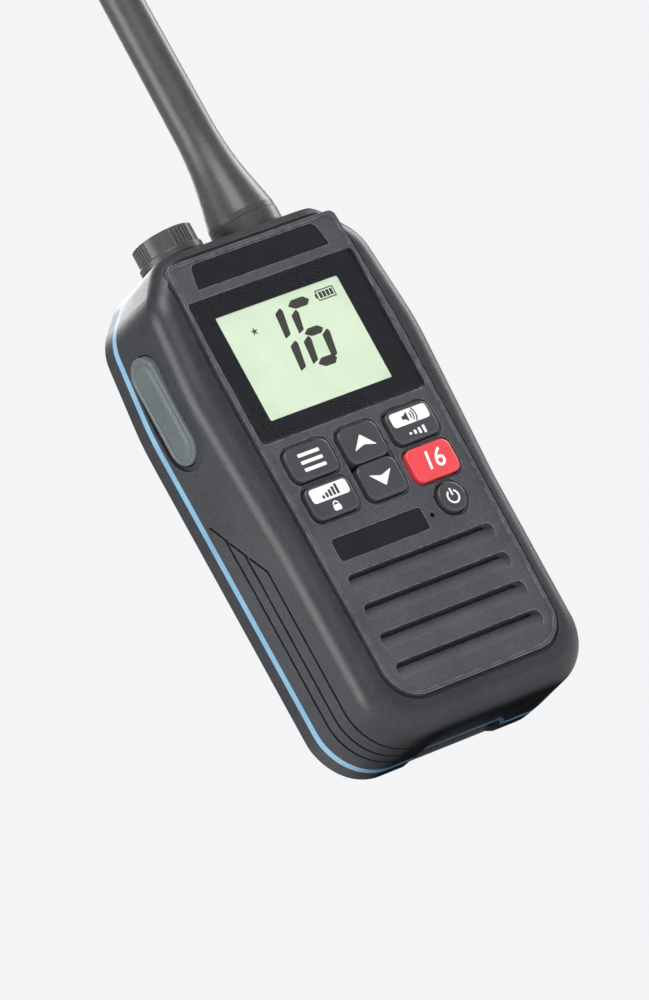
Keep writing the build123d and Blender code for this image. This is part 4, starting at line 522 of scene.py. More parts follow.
class Finishes:
    """Makes each finish once and hands it out."""

    def __init__(self) -> None:
        """Describes every finish."""
        low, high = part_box("case_seal")
        self.recipes = {
            Finish.CASE: Moulded("case_plastic", (0.017, 0.018, 0.021), (0.030, 0.032, 0.036), 0.40,
                                 grain_mm=0.34, grain_height_mm=0.030),
            Finish.PANEL: Moulded("panel_plastic", (0.040, 0.042, 0.050), (0.070, 0.073, 0.084), 0.42,
                                  grain_mm=0.22, grain_height_mm=0.022, worn=(0.34, 0.35, 0.37), wear=0.6),
            Finish.PLATE: Gloss("plate_black", (0.006, 0.006, 0.010), (0.011, 0.011, 0.016), 0.22),
            Finish.KEY: Moulded("key_rubber", (0.034, 0.035, 0.040), (0.052, 0.054, 0.060), 0.36,
                                grain_mm=0.18, grain_height_mm=0.008, worn=(0.2, 0.2, 0.21)),
            Finish.KEY_RED: Moulded("key_rubber_red", (0.66, 0.045, 0.055), (0.74, 0.075, 0.085), 0.36,
                                    grain_mm=0.18, grain_height_mm=0.006, worn=(0.8, 0.3, 0.3)),
            Finish.PAD: Moulded("pad_rubber", (0.070, 0.086, 0.086), (0.105, 0.126, 0.124), 0.46,
                                grain_mm=0.26, grain_height_mm=0.014, worn=(0.2, 0.22, 0.22)),
            Finish.ANTENNA: Moulded("antenna_rubber", (0.034, 0.034, 0.035), (0.056, 0.056, 0.057), 0.36,
                                    grain_mm=0.42, grain_height_mm=0.014, sheen=0.1),
            Finish.SEAL: Seal("seal_silicone", (0.15, 0.30, 0.44), (0.21, 0.39, 0.54), (0.010, 0.013, 0.018),
                              low[1], high[1], 0.16 * MM),
            Finish.LENS: Window("lens_clear"),
            Finish.MASK: Gloss("mask_print", (0.004, 0.004, 0.008), (0.007, 0.007, 0.013), 0.7,
                               specular=0.02, depth_mm=0.00002),
            # The display's emission is painted light, standing in for lamp light that the glass window stops.
            Finish.SCREEN: Gloss("screen_glass", (0.54, 0.64, 0.47), (0.60, 0.69, 0.53), 0.3, painted_glow=0.42),
            Finish.SEGMENT: Gloss("screen_segment", (0.020, 0.013, 0.010), (0.034, 0.022, 0.014), 0.4),
            Finish.LEGEND: Moulded("legend_white", (0.78, 0.78, 0.78), (0.70, 0.70, 0.70), 0.5,
                                   grain_mm=0.12, grain_height_mm=0.003, worn=(0.6, 0.6, 0.6)),
            Finish.LEGEND_DARK: Moulded("legend_black", (0.015, 0.015, 0.017), (0.03, 0.03, 0.032), 0.5,
                                        grain_mm=0.12, grain_height_mm=0.003, worn=(0.05, 0.05, 0.05)),
            Finish.MEMBRANE: Membrane("sound_cloth", (0.022, 0.022, 0.024), (0.005, 0.005, 0.006)),
            Finish.RUBBER: Moulded("black_rubber", (0.012, 0.012, 0.013), (0.022, 0.022, 0.023), 0.6),
            Finish.BOARD: Gloss("solder_mask", (0.015, 0.10, 0.035), (0.02, 0.13, 0.05), 0.34),
            Finish.CHIP: Moulded("chip_epoxy", (0.018, 0.018, 0.02), (0.035, 0.035, 0.037), 0.5),
            Finish.STEEL: Metal("stainless", (0.56, 0.56, 0.55), (0.46, 0.46, 0.46), 0.3),
            Finish.TIN: Metal("tin_plate", (0.66, 0.66, 0.64), (0.55, 0.55, 0.54), 0.24),
            Finish.CAST: Metal("cast_metal", (0.46, 0.47, 0.48), (0.36, 0.37, 0.38), 0.52,
                               streak_mm=0.3, stretch=1.0),
            Finish.BRASS: Metal("plated_brass", (0.78, 0.58, 0.27), (0.66, 0.47, 0.22), 0.26),
            Finish.HOLDER: Gloss("white_moulding", (0.74, 0.74, 0.72), (0.68, 0.68, 0.66), 0.42),
            Finish.CELL: Gloss("cell_foil", (0.20, 0.23, 0.26), (0.28, 0.31, 0.34), 0.3),
        }
        self.made: dict[Finish, bpy.types.Material] = {}

    def get(self, finish: Finish) -> bpy.types.Material:
        """Makes a finish's material on first use.

        Args:
            finish: Which finish.

        Returns:
            Its material.
        """
        if finish not in self.made:
            self.made[finish] = self.recipes[finish].material()
        return self.made[finish]

    def dress(self, thing: bpy.types.Object, finish: Finish) -> None:
        """Gives every material slot of an object one finish.

        Args:
            thing: The object.
            finish: Its finish.
        """
        material = self.get(finish)
        if not thing.material_slots:
            thing.data.materials.append(material)
        for slot in thing.material_slots:
            slot.material = material

    def dress_node(self, node: str, finish: Finish) -> None:
        """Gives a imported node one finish."""
        self.dress(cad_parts[node], finish)


# ------------------------------------------------------------------ mesh tools
def as_object(name: str, mesh: bmesh.types.BMesh, smooth: bool = False) -> bpy.types.Object:
    """Turns a bmesh into an object of the scene.

    Args:
        name: The object's name.
        mesh: The geometry, freed afterwards.
        smooth: Whether its faces are shaded smooth.

    Returns:
        The new object.
    """
    bmesh.ops.recalc_face_normals(mesh, faces=mesh.faces)
    data = bpy.data.meshes.new(name)
    mesh.to_mesh(data)
    mesh.free()
    for polygon in data.polygons:
        polygon.use_smooth = smooth
    thing = bpy.data.objects.new(name, data)
    bpy.context.scene.collection.objects.link(thing)
    return thing


def rounded(corners: Sequence[Point2], radius: float, steps: int = 5) -> Outline:
    """Rounds the corners of a closed outline with short curves.

    Args:
        corners: The outline's corners.
        radius: How far along each side a rounding starts.
        steps: Points along each rounding.

    Returns:
        The rounded outline.
    """
    result: Outline = []
    for index, corner in enumerate(corners):
        here = Vector(corner)
        before = (Vector(corners[index - 1]) - here)
        after = (Vector(corners[(index + 1) % len(corners)]) - here)
        reach = min(radius, before.length / 2, after.length / 2)
        first = here + before.normalized() * reach
        last = here + after.normalized() * reach
        for step in range(steps):
            t = step / (steps - 1)
            point = first * (1 - t) ** 2 + here * 2 * t * (1 - t) + last * t ** 2
            result.append((point.x, point.y))
    return result


def rectangle(centre: Point2, width: float, height: float, radius: float = 0.0, steps: int = 5) -> Outline:
    """Draws a rectangle, rounded if a radius is given.

    Args:
        centre: Its middle.
        width: Its size along X.
        height: Its size along Z.
        radius: How far along each side a rounding starts.
        steps: Points along each rounding.

    Returns:
        The outline.
    """
    x, z = centre
    corners = [(x - width / 2, z - height / 2), (x + width / 2, z - height / 2),
               (x + width / 2, z + height / 2), (x - width / 2, z + height / 2)]
    return rounded(corners, radius, steps) if radius else corners


def capsule(centre: Point2, width: float, height: float, steps: int = 24) -> Outline:
    """Draws a pill that stands upright.

    Args:
        centre: Its middle.
        width: Its width, twice the radius of its ends.
        height: Its whole height.
        steps: Steps round each end.

    Returns:
        The outline.
    """
    radius = width / 2
    straight = height / 2 - radius
    points: Outline = []
    for end, first in ((1, 0), (-1, math.pi)):
        for step in range(steps + 1):
            angle = math.pi * step / steps + first
            points.append((centre[0] + radius * math.cos(angle),
                           centre[1] + end * straight + radius * math.sin(angle)))
    return points


def arc_band(centre: Point2, radius: float, width: float, start: float, sweep: float,
             steps: int = 28) -> Outline:
    """Draws part of a ring.

    Args:
        centre: The ring's middle.
        radius: Its radius at the middle of the band.
        width: The band's width.
        start: Where the part starts, in degrees from +X.
        sweep: How far it goes on, in degrees.
        steps: Steps along it.

    Returns:
        The outline.
    """
    outer, inner = radius + width / 2, radius - width / 2
    turns = [math.radians(start + sweep * step / steps) for step in range(steps + 1)]
    outside = [(centre[0] + outer * math.cos(a), centre[1] + outer * math.sin(a)) for a in turns]
    inside = [(centre[0] + inner * math.cos(a), centre[1] + inner * math.sin(a)) for a in reversed(turns)]
    return outside + inside


def flat_shapes(name: str, outlines: Sequence[Outline], front: float, back: float) -> bpy.types.Object:
    """Makes thin plates that face the user.

    Args:
        name: The piece's name.
        outlines: Outlines in X and Z, in metres.
        front: Y of the plates' faces.
        back: Y of their backs.

    Returns:
        One object with every plate.
    """
    mesh = bmesh.new()
    for outline in outlines:
        face = [mesh.verts.new((x, front, z)) for x, z in outline]
        rear = [mesh.verts.new((x, back, z)) for x, z in outline]
        mesh.faces.new(face)
        mesh.faces.new(rear[::-1])
        for index in range(len(outline)):
            following = (index + 1) % len(outline)
            mesh.faces.new((face[index], rear[index], rear[following], face[following]))
    return as_object(name, mesh)


def lofted(name: str, rings: Sequence[Sequence[Vector]]) -> bpy.types.Object:
    """Joins rings of equal length into one closed smooth skin.

    Args:
        name: The piece's name.
        rings: The rings, from the back of the piece to the middle of its face.

    Returns:
        The new object.
    """
    mesh = bmesh.new()
    loops = [[mesh.verts.new(point) for point in ring] for ring in rings]
    for low, high in zip(loops, loops[1:]):
        for index in range(len(low)):
            following = (index + 1) % len(low)
            mesh.faces.new((low[index], low[following], high[following], high[index]))
    for loop in (loops[0], loops[-1]):
        middle = mesh.verts.new(sum((vert.co for vert in loop), Vector()) / len(loop))
        for index in range(len(loop)):
            mesh.faces.new((loop[index], loop[(index + 1) % len(loop)], middle))
    thing = as_object(name, mesh, smooth=True)
    thing.data.set_sharp_from_angle(angle=math.radians(35))
    return thing


def finish_piece(thing: bpy.types.Object, body: str) -> None:
    """Sets what a new piece rides on."""
    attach(thing, body)


# ------------------------------------------------------------------------ keys
class Symbol(Enum):
    """What is printed on a key."""

    LIST = "list"
    UP = "up"
    DOWN = "down"
    LOUDNESS = "loudness"
    OUTPUT = "output"
    NUMBER = "number"
    POWER = "power"


@dataclass
class Key:
    """One rubber key with its printed legend."""

    node: str
    symbol: Symbol
    finish: Finish = Finish.KEY
    ink: float = 0.03 * MM
    lip: float = 0.9 * MM
    depth: float = 2.9 * MM
    corner_radius: float = 1.9 * MM
    least_radius: float = 0.3 * MM
    edge_inset: float = 0.75 * MM
    edge_drop: float = 0.35 * MM
    edge_steps: int = 6
    face_shares: tuple[float, ...] = (0.7, 0.35)
    field_z: float = 1.45
    lower_z: float = -2.05
    number_size: float = 5.6 * MM
    number_lean: float = 0.15
    number_weight: float = 0.05 * MM

    def __post_init__(self) -> None:
        """Reads the key's place from its solid."""
        low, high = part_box(self.node)
        self.face = low[1]
        self.centre = ((low[0] + high[0]) / 2, (low[2] + high[2]) / 2)
        self.width = high[0] - low[0] - 2 * self.lip
        round_key = self.symbol is Symbol.POWER
        self.height = self.width if round_key else high[2] - low[2]
        self.corner = self.width / 2 if round_key else self.corner_radius
        self.back = self.face + self.depth

    def outline(self, inset: float, steps: int = 12) -> Outline:
        """Draws the cap's outline.

        Args:
            inset: How much smaller it is than the cap on every side.
            steps: Steps round each corner.

        Returns:
            The outline.
        """
        x, z = self.centre
        radius = max(self.corner - inset, self.least_radius)
        half_width, half_height = self.width / 2 - inset, self.height / 2 - inset
        points: Outline = []
        for quarter, (side_x, side_z) in enumerate(((1, 1), (-1, 1), (-1, -1), (1, -1))):
            for step in range(steps + 1):
                angle = math.pi / 2 * (quarter + step / steps)
                points.append((x + side_x * (half_width - radius) + radius * math.cos(angle),
                               z + side_z * (half_height - radius) + radius * math.sin(angle)))
        return points

    def cap(self) -> bpy.types.Object:
        """Builds the key's cap, crowned at its edges and flat in the middle.

        Returns:
            The cap.
        """
        top = self.face + 2 * self.ink
        profile = [(0.0, self.back), (0.0, top + self.edge_drop)]
        for step in range(1, self.edge_steps + 1):
            angle = math.pi / 2 * step / self.edge_steps
            inward = self.edge_inset * (1 - math.cos(angle))
            profile.append((inward, top + self.edge_drop * (1 - math.sin(angle))))
        rings = [[Vector((x, y, z)) for x, z in self.outline(inset)] for inset, y in profile]
        inner = self.outline(self.edge_inset)
        for share in self.face_shares:
            rings.append([Vector((self.centre[0] + (x - self.centre[0]) * share, top,
                                  self.centre[1] + (z - self.centre[1]) * share)) for x, z in inner])
        return lofted(f"{self.node}.cap", rings)

    def at(self, x_mm: float, z_mm: float) -> Point2:
        """Returns a place on the key, in millimetres from its centre."""
        return (self.centre[0] + x_mm * MM, self.centre[1] + z_mm * MM)

    def bar(self, x_mm: float, z_mm: float, width_mm: float, height_mm: float) -> Outline:
        """Returns a small rounded bar on the key."""
        radius = min(width_mm, height_mm) * 0.3 * MM
        return rectangle(self.at(x_mm, z_mm), width_mm * MM, height_mm * MM, radius, 4)

    def arrowhead(self, direction: int) -> Outline:
        """Returns a broad arrowhead with a notch in its base, pointing up (1) or down (-1)."""
        points = [(-2.9, -1.35), (0.0, -0.55), (2.9, -1.35), (0.0, 1.75)]
        return rounded([self.at(x, z * direction) for x, z in points], 0.35 * MM, 4)

    def list_lines(self) -> list[Outline]:
        """Returns three lines, one above the other."""
        length, thickness, pitch = 5.6, 0.75, 1.6
        return [self.bar(0, row * pitch, length, thickness) for row in (1, 0, -1)]

    def power_sign(self) -> list[Outline]:
        """Draws a ring that is open at the top, and the stroke in its gap.

        Returns:
            Both outlines.
        """
        line, radius, gap_side, sweep = 0.42, 1.35, 120, 300
        ring = arc_band(self.at(0, -0.1), radius * MM, line * MM, gap_side, sweep)
        return [ring, self.bar(0, 0.95, line, 1.6)]

    def light_field(self) -> Outline:
        """Returns the light field in the upper half of the key."""
        margin, height, radius = 1.9 * MM, 3.1 * MM, 0.9 * MM
        return rectangle(self.at(0, self.field_z), self.width - margin, height, radius, 6)

    def small_levels(self) -> list[Outline]:
        """Returns four rising bars below the light field."""
        left, pitch, width, shortest, growth = -1.8, 1.2, 0.65, 0.5, 0.4
        return [self.bar(left + pitch * i, self.lower_z, width, shortest + growth * i) for i in range(4)]

    def padlock(self) -> list[Outline]:
        """Returns a padlock's body and shackle below the light field."""
        shackle = arc_band(self.at(0, -1.45), 0.62 * MM, 0.3 * MM, 0, 180, 12)
        return [self.bar(0, -2.15, 1.9, 1.25), shackle]

    def loudspeaker(self) -> list[Outline]:
        """Draws a loudspeaker's horn and three waves on the light field.

        Returns:
            Their outlines.
        """
        horn = [(-2.0, 1.05), (-1.35, 1.05), (-0.5, 0.4), (-0.5, 2.5), (-1.35, 1.85), (-2.0, 1.85)]
        mouth = self.at(-0.5, self.field_z)
        waves = [arc_band(mouth, radius * MM, 0.28 * MM, -42, 84, 10) for radius in (0.85, 1.5, 2.15)]
        return [[self.at(x, z) for x, z in horn]] + waves

    def field_levels(self) -> list[Outline]:
        """Returns five rising bars on the light field, with their feet on one line."""
        left, pitch, width, shortest, growth, lowest = -1.9, 0.95, 0.6, 0.7, 0.38, 0.75
        return [self.bar(left + pitch * i, lowest + growth / 2 * i, width, shortest + growth * i)
                for i in range(5)]

    def white_shapes(self) -> list[Outline]:
        """Chooses the light shapes of the legend.

        Returns:
            Their outlines.
        """
        if self.symbol is Symbol.LIST:
            return self.list_lines()
        if self.symbol in (Symbol.UP, Symbol.DOWN):
            return [self.arrowhead(1 if self.symbol is Symbol.UP else -1)]
        if self.symbol is Symbol.POWER:
            return self.power_sign()
        if self.symbol is Symbol.LOUDNESS:
            return [self.light_field()] + self.small_levels()
        if self.symbol is Symbol.OUTPUT:
            return [self.light_field()] + self.padlock()
        return []

    def dark_shapes(self) -> list[Outline]:
        """Chooses the dark shapes that lie on a light field.

        Returns:
            Their outlines.
        """
        if self.symbol is Symbol.LOUDNESS:
            return self.loudspeaker()
        if self.symbol is Symbol.OUTPUT:
            return self.field_levels()
        return []

    def number(self) -> bpy.types.Object:
        """Builds the plain channel number as raised print.

        Returns:
            The number.
        """
        text = bpy.data.curves.new(f"{self.node}.number_text", "FONT")
        text.body = "16"
        text.size = self.number_size
        text.shear = self.number_lean
        text.offset = self.number_weight
        text.extrude = self.ink
        text.align_x = "CENTER"
        text.align_y = "CENTER"
        holder = bpy.data.objects.new("number_holder", text)
        data = bpy.data.meshes.new_from_object(holder)
        bpy.data.objects.remove(holder)
        bpy.data.curves.remove(text)
        data.name = f"{self.node}.number"
        x, z = self.centre
        turn = Matrix.Translation((x, self.face + self.ink, z)) @ Matrix.Rotation(math.pi / 2, 4, "X")
        data.transform(turn)
        thing = bpy.data.objects.new(data.name, data)
        bpy.context.scene.collection.objects.link(thing)
        return thing

    def build(self, finishes: Finishes) -> None:
        """Builds the key and its legend and dresses them.

        Args:
            finishes: The radio's finishes.
        """
        cap = self.cap()
        finish_piece(cap, self.node)
        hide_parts(self.node)
        finishes.dress(cap, self.finish)
        upper, sunk = self.face + self.ink, 1.2 * self.ink
        layers = (("white", self.white_shapes(), Finish.LEGEND, upper),
                  ("dark", self.dark_shapes(), Finish.LEGEND_DARK, self.face))
        for label, outlines, finish, front in layers:
            if outlines:
                print_piece = flat_shapes(f"{self.node}.{label}", outlines, front, front + sunk)
                finish_piece(print_piece, self.node)
                finishes.dress(print_piece, finish)
        if self.symbol is Symbol.NUMBER:
            number = self.number()
            finish_piece(number, self.node)
            finishes.dress(number, Finish.LEGEND)
        LOG.info("key %s with symbol %s", self.node, self.symbol.value)


@dataclass
class Keypad:
    """The seven keys."""

    layout: tuple[tuple[str, Symbol, Finish], ...] = (
        ("key_menu", Symbol.LIST, Finish.KEY),
        ("key_up", Symbol.UP, Finish.KEY),
        ("key_down", Symbol.DOWN, Finish.KEY),
        ("key_volume", Symbol.LOUDNESS, Finish.KEY),
        ("key_output", Symbol.OUTPUT, Finish.KEY),
        ("key_channel_16", Symbol.NUMBER, Finish.KEY_RED),
        ("key_power", Symbol.POWER, Finish.KEY),
    )

    def build(self, finishes: Finishes) -> None:
        """Builds every key."""
        for node, symbol, finish in self.layout:
            Key(node, symbol, finish).build(finishes)


# ---------------------------------------------------------------------- screen
@dataclass(frozen=True)
class Stroke:
    """One lit segment: a leaning bar between two heights, or a level leaf between two sides.

    Its sizes are millimetres from the display's centre.
    """

    left: float
    right: float
    low: float
    high: float
    upright: bool = True
    lean: float = 0.085
    taper: float = 0.5
    tip: float = 0.35
    foot_rise: float = 0.55
    head_drops: tuple[float, float] = (0.9, 0.75)
    lower_points: tuple[float, float] = (1.5, 1.0)
    upper_points: tuple[float, float] = (1.3, 1.2)

    def bar(self) -> Outline:
        """Draws a leaning bar with a slanted foot and a pointed head.

        Returns:
            The outline.
        """
        shift = self.lean * (self.high - self.low) / 2
        left_drop, right_drop = self.head_drops
        return [(self.left - shift, self.low), (self.right - shift - self.taper, self.low + self.foot_rise),
                (self.right + shift, self.high - right_drop), (self.right + shift - self.tip, self.high),
                (self.left + shift, self.high - left_drop)]

    def leaf(self) -> Outline:
        """Draws a level bar with pointed ends.

        Returns:
            The outline.
        """
        middle = (self.low + self.high) / 2
        low_left, low_right = self.lower_points
        high_left, high_right = self.upper_points
        underside = [(self.left + low_left, self.low), (self.right - low_right, self.low)]
        upper_side = [(self.right - high_right, self.high), (self.left + high_left, self.high)]
        return [(self.left, middle), *underside, (self.right, middle), *upper_side]

    def outline(self) -> Outline:
        """Returns the segment's outline."""
        return self.bar() if self.upright else self.leaf()


@dataclass
class Lens:
    """The clear window, with a polished bevel round its face."""

    node: str = "screen_lens"
    clearance: float = 0.03 * MM
    bevel: float = 0.35 * MM
    corner: float = 1.2 * MM
    steps: int = 7

    def outline(self, inset: float) -> Outline:
        """Draws the window's outline.

        Args:
            inset: How much smaller it is than the window on every side.

        Returns:
            The outline.
        """
        low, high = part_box(self.node)
        centre = ((low[0] + high[0]) / 2, (low[2] + high[2]) / 2)
        width, height = high[0] - low[0] - 2 * inset, high[2] - low[2] - 2 * inset
        return rectangle(centre, width, height, self.corner, self.steps)

    def build(self, finishes: Finishes) -> None:
        """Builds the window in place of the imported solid.

        Args:
            finishes: The radio's finishes.
        """
        low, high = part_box(self.node)
        face, back = low[1], high[1] - self.clearance
        sections = ((self.clearance, back), (self.clearance, face + self.bevel / 2), (self.bevel, face))
        rings = [[Vector((x, y, z)) for x, z in self.outline(inset)] for inset, y in sections]
        lens = lofted(f"{self.node}.window", rings)
        for polygon in lens.data.polygons:
            polygon.use_smooth = False
        finish_piece(lens, "root")
        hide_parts(self.node)
        finishes.dress(lens, Finish.LENS)
        LOG.info("window %.1f mm thick", (back - face) / MM)


@dataclass
class Screen:
    """The liquid crystal display behind its window."""

    strokes: tuple[Stroke, ...] = (
        Stroke(-2.55, -0.45, 3.0, 9.4), Stroke(-3.05, -0.95, -4.3, 2.1),
        Stroke(0.95, 2.95, 3.0, 8.0), Stroke(0.45, 2.55, -3.8, 2.1),
        Stroke(5.45, 7.55, -4.0, 2.2),
        Stroke(1.5, 7.1, 8.1, 10.1, False), Stroke(1.8, 6.8, 1.7, 3.5, False),
        Stroke(1.3, 6.3, -5.1, -3.1, False),
    )
    ink: float = 0.05 * MM
    stroke_radius: float = 0.22 * MM
    gauge_place: Point2 = (11.5, 9.1)
    gauge_cells: int = 4
    star_place: Point2 = (-8.9, 6.6)
    star_radii: tuple[float, float] = (0.95, 0.32)

    def __post_init__(self) -> None:
        """Reads the display's place from its solids."""
        low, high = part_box("screen_glass")
        self.face = low[1]
        self.centre = ((low[0] + high[0]) / 2, (low[2] + high[2]) / 2)

    def at(self, x_mm: float, z_mm: float) -> Point2:
        """Returns a place on the display, in millimetres from its centre."""
        return (self.centre[0] + x_mm * MM, self.centre[1] + z_mm * MM)

    def digits(self) -> list[Outline]:
        """Returns the lit segments of the channel number 16."""
        placed = [[self.at(x, z) for x, z in stroke.outline()] for stroke in self.strokes]
        return [rounded(corners, self.stroke_radius, 3) for corners in placed]

    def battery(self) -> list[Outline]:
        """Draws the battery gauge at the upper right.

        Returns:
            The outlines of its frame, its terminal and its cells.
        """
        x, z = self.gauge_place
        width, height, line = 4.5, 2.1, 0.22
        first_cell, pitch, cell_width, cell_height = -1.35, 0.95, 0.7, 1.35
        frame_bars = [(x, z + height / 2, width, line), (x, z - height / 2, width, line),
                      (x - width / 2, z, line, height), (x + width / 2, z, line, height)]
        terminal = [(x - width / 2 - 0.3, z, 0.35, 0.9)]
        cells = [(x + first_cell + pitch * i, z, cell_width, cell_height) for i in range(self.gauge_cells)]
        bars = frame_bars + terminal + cells
        return [rectangle(self.at(bx, bz), w * MM, h * MM) for bx, bz, w, h in bars]

    def star(self) -> Outline:
        """Draws the small star at the left.

        Returns:
            Its outline.
        """
        x, z = self.star_place
        points, arms = [], 5
        for step in range(2 * arms):
            radius = self.star_radii[step % 2]
            angle = math.pi / 2 + math.pi * step / arms
            points.append(self.at(x + radius * math.cos(angle), z + radius * math.sin(angle)))
        return points

    def build(self, finishes: Finishes) -> None:
        """Builds the lit segments and dresses the display.

        Args:
            finishes: The radio's finishes.
        """
        signs = self.digits() + self.battery() + [self.star()]
        shapes = flat_shapes("screen_segments", signs, self.face - self.ink, self.face - 0.2 * self.ink)
        finish_piece(shapes, "root")
        finishes.dress(shapes, Finish.SEGMENT)
        finishes.dress_node("screen_glass", Finish.SCREEN)
        finishes.dress_node("screen_light", Finish.HOLDER)
        finishes.dress_node("screen_holder", Finish.HOLDER)
        finishes.dress_node("screen_mask", Finish.MASK)
        Lens().build(finishes)
        LOG.info("screen with %d signs", len(signs))


# --------------------------------------------------------------------- talk pad
@dataclass
class TalkPad:
    """The push-to-talk pad on the left flank."""

    node: str = "ptt_pad"
    pad_width: float = 8.7 * MM
    profile_mm: tuple[Point2, ...] = (
        (0.00, 2.00), (0.00, 0.62), (0.08, 0.42), (0.26, 0.26), (0.52, 0.18), (0.80, 0.20),
        (0.98, 0.34), (1.20, 0.38), (1.42, 0.34), (1.60, 0.16), (1.84, 0.04), (2.20, 0.00), (3.10, 0.00),
    )

    def build(self, finishes: Finishes) -> None:
        """Builds the pad with its channel and raised oval.

        Args:
            finishes: The radio's finishes.
        """
        low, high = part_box(self.node)
        face = low[0]
        middle = ((low[1] + high[1]) / 2, (low[2] + high[2]) / 2)
        height = high[2] - low[2]
        rings = []
        for inset_mm, depth_mm in self.profile_mm:
            inset = inset_mm * MM
            pill = capsule(middle, self.pad_width - 2 * inset, height - 2 * inset)
            rings.append([Vector((face + depth_mm * MM, y, z)) for y, z in pill])
        pad = lofted(f"{self.node}.skin", rings)
        finish_piece(pad, "ptt")
        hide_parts(self.node)
        finishes.dress(pad, Finish.PAD)
        LOG.info("talk pad %.1f mm tall", height / MM)


# ------------------------------------------------------------- dressed solids
@dataclass(frozen=True)
class DressedGroup:
    """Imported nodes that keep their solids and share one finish."""

    finish: Finish
    nodes: tuple[str, ...]

    def build(self, finishes: Finishes) -> None:
        """Dresses every node of the group.

        Args:
            finishes: The radio's finishes.
        """
        for node in self.nodes:
            finishes.dress_node(node, self.finish)
        LOG.info("finish %s on %d nodes", self.finish.value, len(self.nodes))


DRESSED = (
    DressedGroup(Finish.CASE, ("front_case", "rear_case", "pack_cover", "pack_lid", "clip_base", "belt_clip",
                               "lanyard_eye")),
    DressedGroup(Finish.SEAL, ("case_seal",)),
    DressedGroup(Finish.PANEL, ("front_panel",)),
    DressedGroup(Finish.PLATE, ("name_plate", "model_plate")),
    DressedGroup(Finish.ANTENNA, ("antenna_mast", "antenna_collar", "jack_cap")),
    DressedGroup(Finish.MEMBRANE, ("sound_membrane", "speaker_cone")),
    DressedGroup(Finish.RUBBER, ("keypad_mat", "mic_boot", "antenna_seal", "cap_seal")),
    DressedGroup(Finish.BOARD, ("main_board", "ptt_board", "pack_board")),
    DressedGroup(Finish.CHIP, ("board_chips", "ptt_switch", "contact_block")),
    DressedGroup(Finish.STEEL, ("key_switches", "board_screws", "case_screws", "clip_screws", "clip_pin",
                                "clip_spring", "speaker_magnet")),
    DressedGroup(Finish.TIN, ("rf_shield", "speaker_frame", "microphone")),
    DressedGroup(Finish.CAST, ("chassis",)),
    DressedGroup(Finish.BRASS, ("antenna_socket", "antenna_nut", "antenna_core", "jack_body", "jack_nut",
                                "jack_contacts", "pack_contacts", "charge_contacts", "case_contacts")),
    DressedGroup(Finish.CELL, ("pack_cell",)),
)


# ---------------------------------------------------------------------- studio
@dataclass(frozen=True)
class Lamp:
    """One square soft lamp, in metres and watts."""

    name: str
    place: Point3
    size: float
    power: float

    def hang(self, target: Vector) -> None:
        """Adds the lamp to the scene.

        Args:
            target: What it points at.
        """
        data = bpy.data.lights.new(self.name, "AREA")
        data.size = self.size
        data.energy = self.power
        lamp = bpy.data.objects.new(self.name, data)
        lamp.location = Vector(self.place)
        lamp.rotation_euler = (target - Vector(self.place)).to_track_quat("-Z", "Y").to_euler()
        bpy.context.scene.collection.objects.link(lamp)


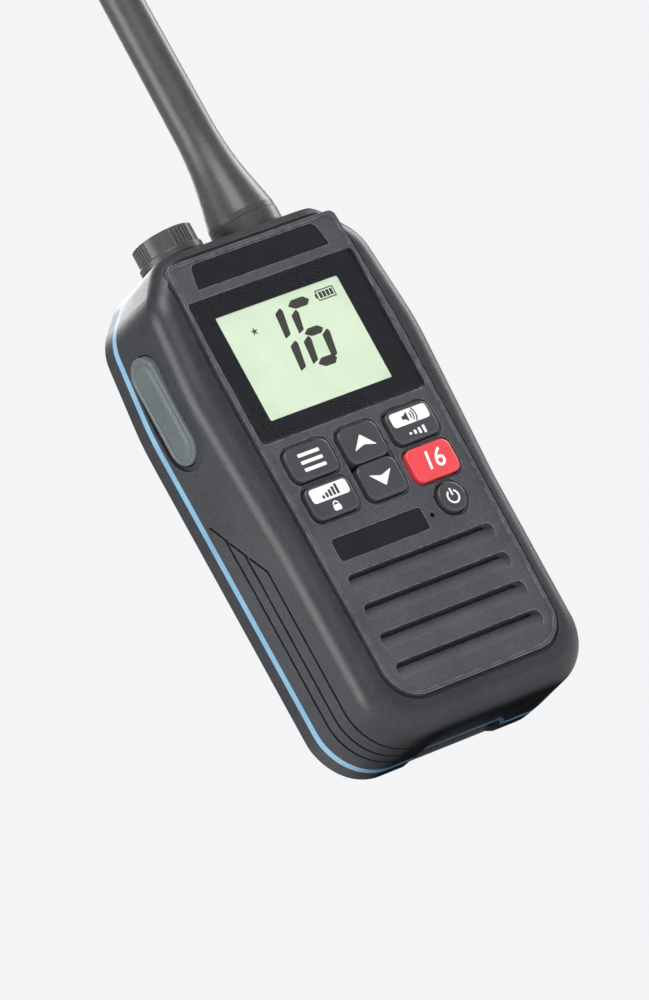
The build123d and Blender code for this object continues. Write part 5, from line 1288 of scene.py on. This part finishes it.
@dataclass
class Studio:
    """Floor, world, lamps and camera."""

    floor_colour: Rgb = (0.80, 0.81, 0.82)
    background: Rgb = (0.90, 0.91, 0.92)
    ambient: float = 0.38
    floor_size: float = 12.0
    floor_roughness: float = 0.8
    lamp_target: Point3 = (0.0, 0.0, 0.07)
    lamps: tuple[Lamp, ...] = (
        Lamp("key_lamp", (-0.45, -1.0, 1.1), 0.9, 17.0),
        Lamp("side_lamp", (-1.3, 0.1, 0.35), 0.8, 12.0),
        Lamp("right_lamp", (1.25, -0.1, 0.6), 0.6, 9.0),
        Lamp("back_lamp", (0.5, 1.2, 0.9), 0.8, 10.0),
        Lamp("low_lamp", (-0.5, -0.8, -0.8), 1.2, 7.0),
    )
    view_forward: Point3 = (0.5986, 0.7801, 0.1822)
    view_level: Point3 = (0.7934, -0.6088, 0.0)
    roll_cos: float = 0.878
    roll_sin: float = 0.4787
    aim_x_mm: float = 0.55
    aim_z_mm: float = 55.9
    seam_offset_mm: float = 2.2
    distance: float = 2.0
    sensor_mm: float = 36.0
    lens_mm: float = 360.0
    clip_end: float = 50.0

    def floor(self) -> None:
        """Makes a pale floor that is clear from below and lets the low lamp's light through."""
        bpy.ops.mesh.primitive_plane_add(size=self.floor_size, location=(0.0, 0.0, 0.0))
        plane = bpy.context.object
        plane.name = "floor"
        material, graph, shader = new_material("floor_paper")
        haze = Haze().place(graph, Scale=3.0, Spread=0.1)
        tone = graph.blend(haze.outputs["Cloud"], rgba(self.floor_colour), rgba(self.background))
        graph.feed(shader.inputs["Base Color"], tone)
        varied = graph.maths("ADD", haze.outputs["Offset"], self.floor_roughness)
        graph.feed(shader.inputs["Roughness"], varied)
        below = graph.add("ShaderNodeNewGeometry").outputs["Backfacing"]
        shadow = graph.add("ShaderNodeLightPath").outputs["Is Shadow Ray"]
        hidden = graph.maths("MAXIMUM", below, shadow)
        clear = graph.add("ShaderNodeBsdfTransparent").outputs[0]
        mixed = graph.add("ShaderNodeMixShader", {0: hidden, 1: shader.outputs[0], 2: clear})
        output = next(node for node in material.node_tree.nodes if node.type == "OUTPUT_MATERIAL")
        graph.feed(output.inputs["Surface"], mixed.outputs[0])
        plane.data.materials.append(material)

    def world(self) -> None:
        """Makes a pale background and a softer light from all round."""
        world = bpy.data.worlds.new("studio")
        bpy.context.scene.world = world
        world.use_nodes = True
        world.node_tree.nodes.clear()
        graph = Graph(world.node_tree)
        path = graph.add("ShaderNodeLightPath")
        seen = graph.maths("MAXIMUM", path.outputs["Is Camera Ray"], path.outputs["Is Transmission Ray"])
        strength = graph.maths("ADD", graph.maths("MULTIPLY", seen, 1.0 - self.ambient), self.ambient)
        backdrop = graph.add("ShaderNodeBackground", {"Color": rgba(self.background), "Strength": strength})
        output = graph.add("ShaderNodeOutputWorld")
        graph.feed(output.inputs["Surface"], backdrop.outputs[0])

    def camera(self) -> None:
        """Sets the camera low at the left, rolled and far away."""
        forward = Vector(self.view_forward).normalized()
        level = Vector(self.view_level).normalized()
        upright = level.cross(forward).normalized()
        right = level * self.roll_cos - upright * self.roll_sin
        up = level * self.roll_sin + upright * self.roll_cos
        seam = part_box("case_seal")[0][1] / MM
        target = Vector((self.aim_x_mm, seam + self.seam_offset_mm, self.aim_z_mm)) * MM
        place = target - forward * self.distance
        data = bpy.data.cameras.new("camera")
        data.sensor_fit = "VERTICAL"
        data.sensor_height = self.sensor_mm
        data.lens = self.lens_mm
        data.clip_end = self.clip_end
        camera = bpy.data.objects.new("camera", data)
        turn = Matrix((right, up, -forward)).transposed().to_4x4()
        camera.matrix_world = Matrix.Translation(place) @ turn
        bpy.context.scene.collection.objects.link(camera)
        bpy.context.scene.camera = camera

    def build(self) -> None:
        """Builds the whole studio."""
        self.floor()
        self.world()
        for lamp in self.lamps:
            lamp.hang(Vector(self.lamp_target))
        self.camera()
        bpy.context.scene.view_settings.view_transform = "Standard"
        LOG.info("studio ready")


def main() -> None:
    """Builds the studio and every sub-assembly in order."""
    logging.basicConfig(level=logging.INFO, format="%(name)s: %(message)s")
    finishes = Finishes()
    Studio().build()
    for group in DRESSED:
        group.build(finishes)
    Screen().build(finishes)
    Keypad().build(finishes)
    TalkPad().build(finishes)


if __name__ == "__main__":
    main()
